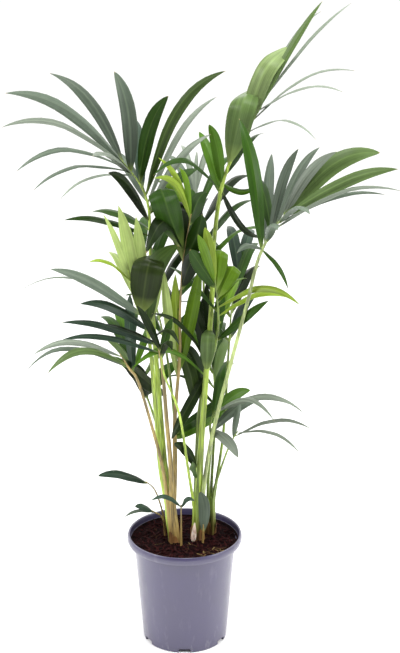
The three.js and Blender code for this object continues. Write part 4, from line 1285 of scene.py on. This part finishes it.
class Crown:
    """The blades' models, and the leaflets laid so far, which a new frond keeps clear of."""

    def __init__(self):
        self.blades = {name: Blade("blade_" + name, outline) for name, outline in BLADES.items()}
        self.taken = []

    def frond(self, name, path, rib_start, fans, chance, around):
        """Lays a frond's leaflets along its rib, clear of what is around it, and joins them."""
        materials = palette()
        in_the_way = self.taken + around
        laid = []
        own = []
        for leaf in (leaf for fan in fans for leaf in fan_leaves(fan, chance)):
            root = path.at(rib_start + (1 - rib_start) * leaf["at"])
            kind = "broad" if leaf["width"] / leaf["reach"] > BROAD_FROM else "long"
            kind = "rolled" if leaf["curl"] else kind
            blade = self.blades[kind]
            for more in LEAN_TRIALS:
                places = blade.laid(root, {**leaf, "lean": leaf["lean"] + more})
                tree = Tree(places, blade.faces)
                if not any(tree.meets(other) for other in in_the_way):
                    laid.append(self.leaflet(blade, places, leaf, materials))
                    own.append(tree)
                    break
        self.taken += own
        return join(laid, "leaflets_" + name)

    def leaflet(self, blade, places, leaf, materials):
        obj = copy(blade.model)
        obj.data.vertices.foreach_set("co", places.ravel())
        tone = "leaflet_" + leaf["tone"]
        dress(obj, materials[tone], materials[tone + "_under"])
        tint = obj.data.attributes.new("tint", "FLOAT", "POINT")
        tint.data.foreach_set("value", np.full(len(places), leaf["tint"], np.float32))
        return obj

    def clear_away(self):
        remove(*(blade.model for blade in self.blades.values()))


def frond_path(name):
    """A frond's stalk from its seat to the rib's end, and where the rib begins."""
    frond = FRONDS[name]
    foot_radius, _ = frond.get("girth", GIRTH)
    path = Path([seat(frond["stand"], foot_radius), *frond["petiole"], *frond["rib"]])
    return path, path.share_nearest(frond["petiole"][-1])


def seedling_path(name):
    seedling = SEEDLINGS[name]
    return Path([(*seedling["foot"], SOIL_HIGH.z), *seedling["stalk"]])


# ---------------------------------------------------------------------------
# The pieces
# ---------------------------------------------------------------------------


def pot_body(p):
    """The pot's shell: up the outer wall, over the rolled rim and down the inner wall to the floor."""
    under_rim = p.height - p.rim_height
    inner = p.rim_radius - RIM_WIDTH
    lip = []
    for s in (0, 0.12, 0.3, 0.5, 0.7, 0.84, 0.93, 1):
        bulge = math.sin(math.pi * (0.12 + 0.76 * s))
        lip.append((p.rim_radius - RIM_ROLL * (1 - bulge), under_rim + p.rim_height * s))
    shell = start(
        bpy.ops.mesh.primitive_circle_add, "pot",
        vertices=96, radius=p.foot_radius - FOOT_EDGE, fill_type="NGON",
    )
    edit(shell)
    grow(p.foot_radius - FOOT_EDGE, 0, [
        (p.foot_radius, FOOT_EDGE),
        (p.foot_radius + 0.0006, 0.009),
        (p.top_radius - 0.0004, under_rim - 0.006),
        (p.top_radius, under_rim - 0.002),
        (p.top_radius + 0.002, under_rim),
        *lip,
        (p.rim_radius - 0.0022, p.height),
        (inner + 0.0008, p.height - 0.0002),
        (inner, p.height - 0.0015),
        (inner - 0.0005, under_rim + 0.003),
        (p.top_radius - p.wall, under_rim - 0.006),
        (p.foot_radius - p.wall, 0.009),
        (p.foot_radius - 2 * p.wall, 0.007),
    ])
    return shell


def pot_underside(shell, p):
    """The foot ring, the channel inside it and the central disc."""
    edit(shell)
    pick("FACE", lambda face: all(vertex.co.z < 1e-5 for vertex in face.verts))
    ring = p.foot_radius - FOOT_EDGE - FOOT_RING
    slope = 0.001
    for thickness, depth in ((ring, 0), (slope, -CHANNEL_DEPTH), (CHANNEL, 0), (slope, CHANNEL_DEPTH)):
        bpy.ops.mesh.inset(thickness=thickness, depth=depth)
    done()


def pot_notches(shell, p):
    """Drain notches through the foot ring, the first of them at the front."""
    for i in range(NOTCHES):
        cutter = start(bpy.ops.mesh.primitive_cube_add, "notch", size=1)
        edit(cutter)
        bpy.ops.transform.resize(value=NOTCH, center_override=(0, 0, 0))
        bpy.ops.transform.translate(value=(p.foot_radius, 0, 0))
        bpy.ops.mesh.bevel(offset=0.003, segments=3, affect="EDGES")
        done()
        cutter.data.transform(Matrix.Rotation(-math.pi / 2 + math.tau / NOTCHES * i, 4, "Z"))
        modify(shell, "BOOLEAN", operation="DIFFERENCE", solver="EXACT", object=cutter)
        remove(cutter)


class PALM_OT_pot(bpy.types.Operator):
    """Build the nursery pot: tapered wall, rolled rim, foot ring and drain notches"""

    bl_idname = "palm.pot"
    bl_label = "Pot"

    def execute(self, context):
        p = context.scene.palm_pot
        shell = pot_body(p)
        bpy.ops.mesh.select_all(action="SELECT")
        bpy.ops.mesh.remove_doubles(threshold=1e-6)
        bpy.ops.mesh.normals_make_consistent(inside=False)
        done()
        pot_underside(shell, p)
        pot_notches(shell, p)
        smooth(shell, 38)
        dress(shell, pot_plastic())
        finish(shell, "pot", "pot")
        return {"FINISHED"}


def soil_surface(radius, relief):
    """A slab of soil with a crumbly top that falls a little towards the wall."""
    top = SOIL_HIGH.z - 0.002
    (foot_radius, foot_height), *side = SOIL_SIDE
    slab = start(
        bpy.ops.mesh.primitive_circle_add, "soil",
        vertices=120, radius=foot_radius, fill_type="NGON", location=(0, 0, foot_height),
    )
    settle(slab)
    edit(slab)
    grow(foot_radius, foot_height, [*side, (radius, top)])
    for _ in range(SOIL_RINGS):
        bpy.ops.mesh.inset(thickness=radius / (SOIL_RINGS + 2))
    pick("VERT", lambda vertex: vertex.co.z > top - 1e-4 and vertex.co.xy.length < radius - 1e-4)
    bpy.ops.object.vertex_group_add()
    bpy.ops.object.vertex_group_assign()
    bpy.ops.mesh.select_all(action="SELECT")
    bpy.ops.mesh.normals_make_consistent(inside=False)
    done()
    for name, size, share in (("soil_swells", 0.03, 1.0), ("soil_clods", 0.008, 0.8)):
        clouds = bpy.data.textures.new(name, "CLOUDS")
        clouds.noise_scale = size
        clouds.noise_depth = 3
        modify(
            slab, "DISPLACE", texture=clouds, texture_coords="LOCAL", direction="Z",
            strength=relief * share, mid_level=0.62, vertex_group="Group",
        )
        bpy.data.textures.remove(clouds)
    return slab


def crumb_model():
    crumb = start(bpy.ops.mesh.primitive_ico_sphere_add, "crumb", subdivisions=1, radius=1)
    edit(crumb)
    bpy.ops.transform.resize(value=(1, 0.8, 0.66), center_override=(0, 0, 0))
    bpy.ops.transform.vertex_random(offset=0.22, seed=SEED)
    done()
    return crumb


def shard_model():
    shard = start(bpy.ops.mesh.primitive_cube_add, "shard", size=2)
    edit(shard)
    bpy.ops.transform.resize(value=(1, 0.34, 0.12), center_override=(0, 0, 0))
    pick("FACE", lambda face: face.normal.x > 0.9)
    bpy.ops.transform.resize(value=(1, 0.45, 0.6), center_override=(1, 0.1, 0))
    pick("FACE", lambda face: face.normal.x < -0.9)
    bpy.ops.transform.resize(value=(1, 0.7, 0.8), center_override=(-1, -0.1, 0.03))
    done()
    return shard


def fibre_model():
    fibre = start(bpy.ops.mesh.primitive_cylinder_add, "fibre", vertices=4, radius=0.03, depth=2)
    edit(fibre)
    bpy.ops.transform.rotate(value=math.pi / 2, orient_axis="Y", center_override=(0, 0, 0))
    pick("EDGE", lambda edge: abs(edge.verts[0].co.x - edge.verts[1].co.x) > 1)
    bpy.ops.mesh.subdivide(number_cuts=4)
    mesh = bmesh.from_edit_mesh(fibre.data)
    for vertex in mesh.verts:
        vertex.co.y += 0.22 * math.cos(1.7 * vertex.co.x)
        vertex.co.z += 0.06 * math.sin(2.3 * vertex.co.x)
    bmesh.update_edit_mesh(fibre.data)
    done()
    return fibre


def strew(model, count, sizes, chance, tilt, floor, area, skins):
    """Copies of a small thing, strewn over the soil, each with its own size, turn and colour."""
    strewn = []
    for _ in range(count):
        radius, angle = area(chance)
        x, y = radius * math.cos(angle), radius * math.sin(angle)
        size = chance.uniform(*sizes)
        turn = Matrix.Rotation(chance.uniform(0, math.tau), 4, "Z")
        tip = Matrix.Rotation(chance.uniform(-tilt, tilt), 4, "X") @ Matrix.Rotation(
            chance.uniform(-tilt, tilt), 4, "Y"
        )
        height = floor(x, y) + size * chance.uniform(0.05, 0.3)
        place = Matrix.Translation((x, y, height)) @ turn @ tip @ Matrix.Scale(size, 4)
        twin = copy(model, place)
        dress(twin, skins[chance.randrange(len(skins))])
        strewn.append(twin)
    return strewn


class PALM_OT_soil(bpy.types.Operator):
    """Build the potting soil with its crumbs, bark and fibres"""

    bl_idname = "palm.soil"
    bl_label = "Soil"

    def execute(self, context):
        p = context.scene.palm_soil
        inner = context.scene.palm_pot.rim_radius - SOIL_INSET
        slab = soil_surface(inner - 0.0006, p.relief)
        dress(slab, soil_crust())
        smooth(slab, 60)
        ground = Tree.of_object(slab).faces

        def floor(x, y):
            return ground.ray_cast(Vector((x, y, 1)), Vector((0, 0, -1)))[0].z

        def all_over(chance):
            return (inner - 0.009) * math.sqrt(chance.random()), chance.uniform(0, math.tau)

        def front_right(chance):
            return (inner - 0.012) * chance.uniform(0.72, 1), math.radians(chance.uniform(-68, -32))

        chance = random.Random(SEED)
        dark, light, straw = tuple(p.dark), tuple(p.light), tuple(p.straw)
        earth = [
            bits("crumb_dark", towards(dark, light, 0.2)),
            bits("crumb_red", towards(dark, light, 0.55)),
            bits("crumb_light", shade(light, 0.8)),
        ]
        dry = [bits("straw", straw), bits("bark_pale", towards(light, straw, 0.5))]
        crumb, shard, fibre = crumb_model(), shard_model(), fibre_model()
        layers = (
            (crumb, p.crumbs, (0.0011, 0.0034), 3, all_over, earth),
            (shard, p.shards, (0.003, 0.0085), 0.5, all_over, earth[1:] + earth),
            (fibre, p.fibres, (0.006, 0.014), 0.25, all_over, earth[1:] + dry[1:]),
            (shard, 16, (0.003, 0.0075), 0.5, front_right, dry),
            (shard, 9, (0.002, 0.005), 0.5, all_over, dry),
        )
        loose = []
        for model, count, sizes, tilt, area, skins in layers:
            loose += strew(model, count, sizes, chance, tilt, floor, area, skins)
        remove(crumb, shard, fibre)
        finish(slab, "soil", "soil")
        finish(join(loose, "soil_bits"), "soil")
        return {"FINISHED"}


def sheath(stem_name, place, foot_radius, fork_radius, skin, chance):
    """A strand of a stem: one leaf's clasping sheath, from the soil to the foot of its stalk."""
    stem = STEMS[stem_name]
    base = SOIL_HIGH.z - SHEATH_SUNK
    points, radii = [], []
    top = seat((stem_name, place), fork_radius)
    out = 0 if place is None else stem["flare"] - foot_radius
    angle = math.radians(place or 0)
    foot = (stem["foot"][0] + out * math.cos(angle), stem["foot"][1] + out * math.sin(angle), base)
    bow = chance.uniform(-0.0012, 0.0012)
    for i in range(13):
        s = i / 12
        ease = s * s * (3 - 2 * s)
        x, y = (a + (b - a) * ease for a, b in zip(foot[:2], top[:2]))
        height = base + (top[2] + SHEATH_OVERLAP - base) * s
        points.append((x + bow * math.sin(math.pi * s), y, height))
        radii.append(foot_radius + (fork_radius * 1.08 - foot_radius) * ease)
    return tube("sheath", points, radii, palette()["stalk_" + skin], 12)


def papery_scale(stem_name, angle, height, width, chance):
    """A dry scale that wraps part of a stem's foot: a curved strip with a torn end."""
    stem = STEMS[stem_name]
    scale = start(
        bpy.ops.mesh.primitive_grid_add, "scale", x_subdivisions=6, y_subdivisions=7, size=2
    )
    edit(scale)
    mesh = bmesh.from_edit_mesh(scale.data)
    base = SOIL_HIGH.z - 0.003
    for vertex in mesh.verts:
        x, s = vertex.co.x, (vertex.co.y + 1) / 2
        narrow = 1 - 0.55 * s
        tear = chance.uniform(-0.12, 0.12) * (s > 0.95)
        around = angle + x * width * narrow
        radius = stem["flare"] + 0.0006 + (stem["radius"] - stem["flare"]) * s * 0.6 + 0.0016 * s * s
        centre = [a + (b - a) * s * height / STEM_HEIGHT for a, b in zip(stem["foot"], stem["fork"])]
        vertex.co = (
            centre[0] + radius * math.cos(around),
            centre[1] + radius * math.sin(around),
            base + height * (s + tear - 0.25 * s * x * x),
        )
    bmesh.update_edit_mesh(scale.data)
    done()
    modify(scale, "SOLIDIFY", thickness=0.0005, offset=0)
    dress(scale, palette()["stalk_sheath"])
    smooth(scale, 50)
    return scale


class PALM_OT_stems(bpy.types.Operator):
    """Build the three short stems from the clasping sheaths of their leaves"""

    bl_idname = "palm.stems"
    bl_label = "Stems"

    def execute(self, context):
        chance = random.Random(SEED + 1)
        for name, stem in STEMS.items():
            parts = [sheath(name, None, stem["flare"] * 0.45, stem["radius"] * 0.5, "green", chance)]
            for frond in FRONDS.values():
                stem_name, place = frond["stand"]
                if stem_name == name:
                    girth = frond.get("girth", GIRTH)[0]
                    parts.append(sheath(name, place, girth * 1.3, girth * 1.15, frond["skin"], chance))
            for _ in range(STEM_SCALES):
                angle = chance.uniform(0, math.tau)
                height = chance.uniform(0.014, 0.03)
                width = chance.uniform(0.5, 0.9)
                parts.append(papery_scale(name, angle, height, width, chance))
            finish(join(parts, "stem_strands_" + name), "stem", "stem_" + name)
        return {"FINISHED"}


class PALM_OT_husk(bpy.types.Operator):
    """Build the pale old seed husk at the middle stem's foot"""

    bl_idname = "palm.husk"
    bl_label = "Seed husk"

    def execute(self, context):
        low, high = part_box("seed_husk")
        radius = (high.y - low.y) * 0.42
        rise = (high.z - low.z) * 0.85
        slant = (high.x - low.x - 2 * radius) / rise * 0.8
        foot = low.x + radius + 0.002, (low.y + high.y) / 2
        husk = start(
            bpy.ops.mesh.primitive_circle_add, "husk",
            vertices=20, radius=radius * 0.6, fill_type="NGON", location=(foot[0], foot[1], low.z),
        )
        settle(husk)
        edit(husk)
        rings = [(radius * width, low.z + rise * s) for s, width in HUSK]
        grow(radius * 0.6, low.z, rings, (slant, 0))
        bpy.ops.mesh.select_all(action="SELECT")
        bpy.ops.mesh.normals_make_consistent(inside=False)
        bpy.ops.transform.vertex_random(offset=0.0006, seed=SEED)
        done()
        modify(husk, "SUBSURF", levels=1, render_levels=1)
        smooth(husk, 60)
        dress(husk, husk_skin())
        finish(husk, "husk", "seed_husk")
        return {"FINISHED"}


class PALM_OT_stalks(bpy.types.Operator):
    """Build the leaf stalks, each one tapering limb from its stem to the end of its rib"""

    bl_idname = "palm.stalks"
    bl_label = "Leaf stalks"

    def execute(self, context):
        for name, frond in FRONDS.items():
            path, rib_start = frond_path(name)
            foot, end = frond.get("girth", GIRTH)
            shares = np.concatenate([[0, 0.012, 0.03], np.linspace(0.05, 1, 44)])
            radii = np.interp(
                shares, (0, 0.05, 0.12, rib_start, 1), (foot * 1.2, foot * 1.12, foot, end, RIB_END)
            )
            points = [path.at(share) for share in shares]
            points[0] = points[0] - np.array([0, 0, 0.003])
            stalk = tube("stalk_" + name, points, radii, palette()["stalk_" + frond["skin"]], 12)
            slot = "petiole_tan" if frond["skin"] == "tan" else "petiole"
            finish(stalk, slot, "petiole_" + name)
        return {"FINISHED"}


class PALM_OT_leaves(bpy.types.Operator):
    """Lay the leaflets of every frond and seedling, each clear of those before it"""

    bl_idname = "palm.leaves"
    bl_label = "Leaflets"

    def execute(self, context):
        crown = Crown()
        stalks = {name: Tree.of_object(bpy.data.objects["stalk_" + name]) for name in FRONDS}
        stems = [Tree.of_object(bpy.data.objects["stem_strands_" + name]) for name in STEMS]
        slots = {record["node"]: record["material_slot"] for record in frame["record"]["subparts"]}
        chance = random.Random(SEED)
        for name, frond in FRONDS.items():
            path, rib_start = frond_path(name)
            around = stems + [stalk for other, stalk in stalks.items() if other != name]
            piece = crown.frond(name, path, rib_start, frond["fans"], chance, around)
            finish(piece, slots["frond_" + name], "frond_" + name)
        around = stems + list(stalks.values())
        for name, seedling in SEEDLINGS.items():
            path = seedling_path(name)
            shares = np.linspace(0, 1, 16)
            points = [path.at(share) for share in shares]
            points[0] = points[0] - np.array([0, 0, 0.004])
            radii = np.interp(shares, (0, 1), SEEDLING_RADII)
            stalk = tube("stalk", points, radii, palette()["stalk_tan"], 8)
            leaves = crown.frond(name, path, 0, seedling["fans"], chance, around)
            finish(join([stalk, leaves], "sprout_" + name), slots[name], name)
        crown.clear_away()
        return {"FINISHED"}


def area_light(name, place, size, power):
    """A soft round light that faces the middle of the plant."""
    light = bpy.data.lights.new(name, "AREA")
    light.shape = "DISK"
    light.size = size
    light.energy = power
    lamp = bpy.data.objects.new(name, light)
    lamp.location = place
    lamp.rotation_euler = (Vector(LIT_POINT) - Vector(place)).to_track_quat("-Z", "Y").to_euler()
    bpy.context.scene.collection.objects.link(lamp)


class PALM_OT_stage(bpy.types.Operator):
    """Set the pale floor, the soft light and the camera"""

    bl_idname = "palm.stage"
    bl_label = "Stage"

    def execute(self, context):
        scene = context.scene
        p = scene.palm_stage
        floor = start(bpy.ops.mesh.primitive_plane_add, "floor", size=FLOOR_SIZE)
        material, tree, shader = new_material("floor_paint", Roughness=0.8, Specular_IOR_Level=0.2)
        base = tuple(p.floor)
        value = noise(tree, object_place(tree), 3)
        wire(tree, shader, ramp(tree, value, (0, shade(base, 0.985)), (1, base)))
        dress(floor, material)

        world = bpy.data.worlds.new("studio")
        scene.world = world
        world.use_nodes = True
        tree = world.node_tree
        background = tree.nodes["Background"]
        background.inputs["Color"].default_value = (1, 0.995, 0.985, 1)
        direction = node(tree, "TexCoord").outputs["Generated"]
        towards_back = node(tree, "SeparateXYZ", {0: direction}).outputs[1]
        light = ranged(tree, towards_back, -0.6, 0.2, FRONT, BACKDROP)
        seen = maths(tree, "MULTIPLY", node(tree, "LightPath").outputs["Is Camera Ray"], BACKDROP)
        tree.links.new(maths(tree, "MAXIMUM", light, seen), background.inputs["Strength"])

        for name, place, size, power in LIGHTS:
            area_light(name, place, size, power)

        lens = bpy.data.cameras.new("camera")
        lens.lens = LENS
        lens.clip_end = 100
        camera = bpy.data.objects.new("camera", lens)
        camera.location = (CAMERA_X, -p.distance, p.eye_height)
        camera.rotation_euler = (math.pi / 2 - p.tilt, 0, 0)
        scene.collection.objects.link(camera)
        scene.camera = camera
        scene.view_settings.view_transform = "Standard"
        return {"FINISHED"}


class PALM_PT_build(bpy.types.Panel):
    """Everything that builds the palm, in order"""

    bl_idname = "PALM_PT_build"
    bl_label = "Kentia Palm"
    bl_space_type = "VIEW_3D"
    bl_region_type = "UI"
    bl_category = "Palm"

    def draw(self, context):
        column = self.layout.column()
        for group in GROUPS:
            box = column.box()
            box.label(text=GROUPS[group].__doc__)
            for name in GROUPS[group].__annotations__:
                box.prop(getattr(context.scene, group), name)
        for operator in OPERATORS:
            column.operator(operator.bl_idname)


OPERATORS = (
    PALM_OT_pot,
    PALM_OT_soil,
    PALM_OT_stems,
    PALM_OT_husk,
    PALM_OT_stalks,
    PALM_OT_leaves,
    PALM_OT_stage,
)


def register():
    for group in (*GROUPS.values(), *OPERATORS, PALM_PT_build):
        bpy.utils.register_class(group)
    for name, group in GROUPS.items():
        setattr(bpy.types.Scene, name, bpy.props.PointerProperty(type=group))


def unregister():
    for name in GROUPS:
        delattr(bpy.types.Scene, name)
    for group in reversed((*GROUPS.values(), *OPERATORS, PALM_PT_build)):
        bpy.utils.unregister_class(group)


def main():
    register()
    bpy.ops.palm.pot()
    bpy.ops.palm.soil()
    bpy.ops.palm.stems()
    bpy.ops.palm.husk()
    bpy.ops.palm.stalks()
    bpy.ops.palm.leaves()
    bpy.ops.palm.stage()


if __name__ == "__main__":
    main()
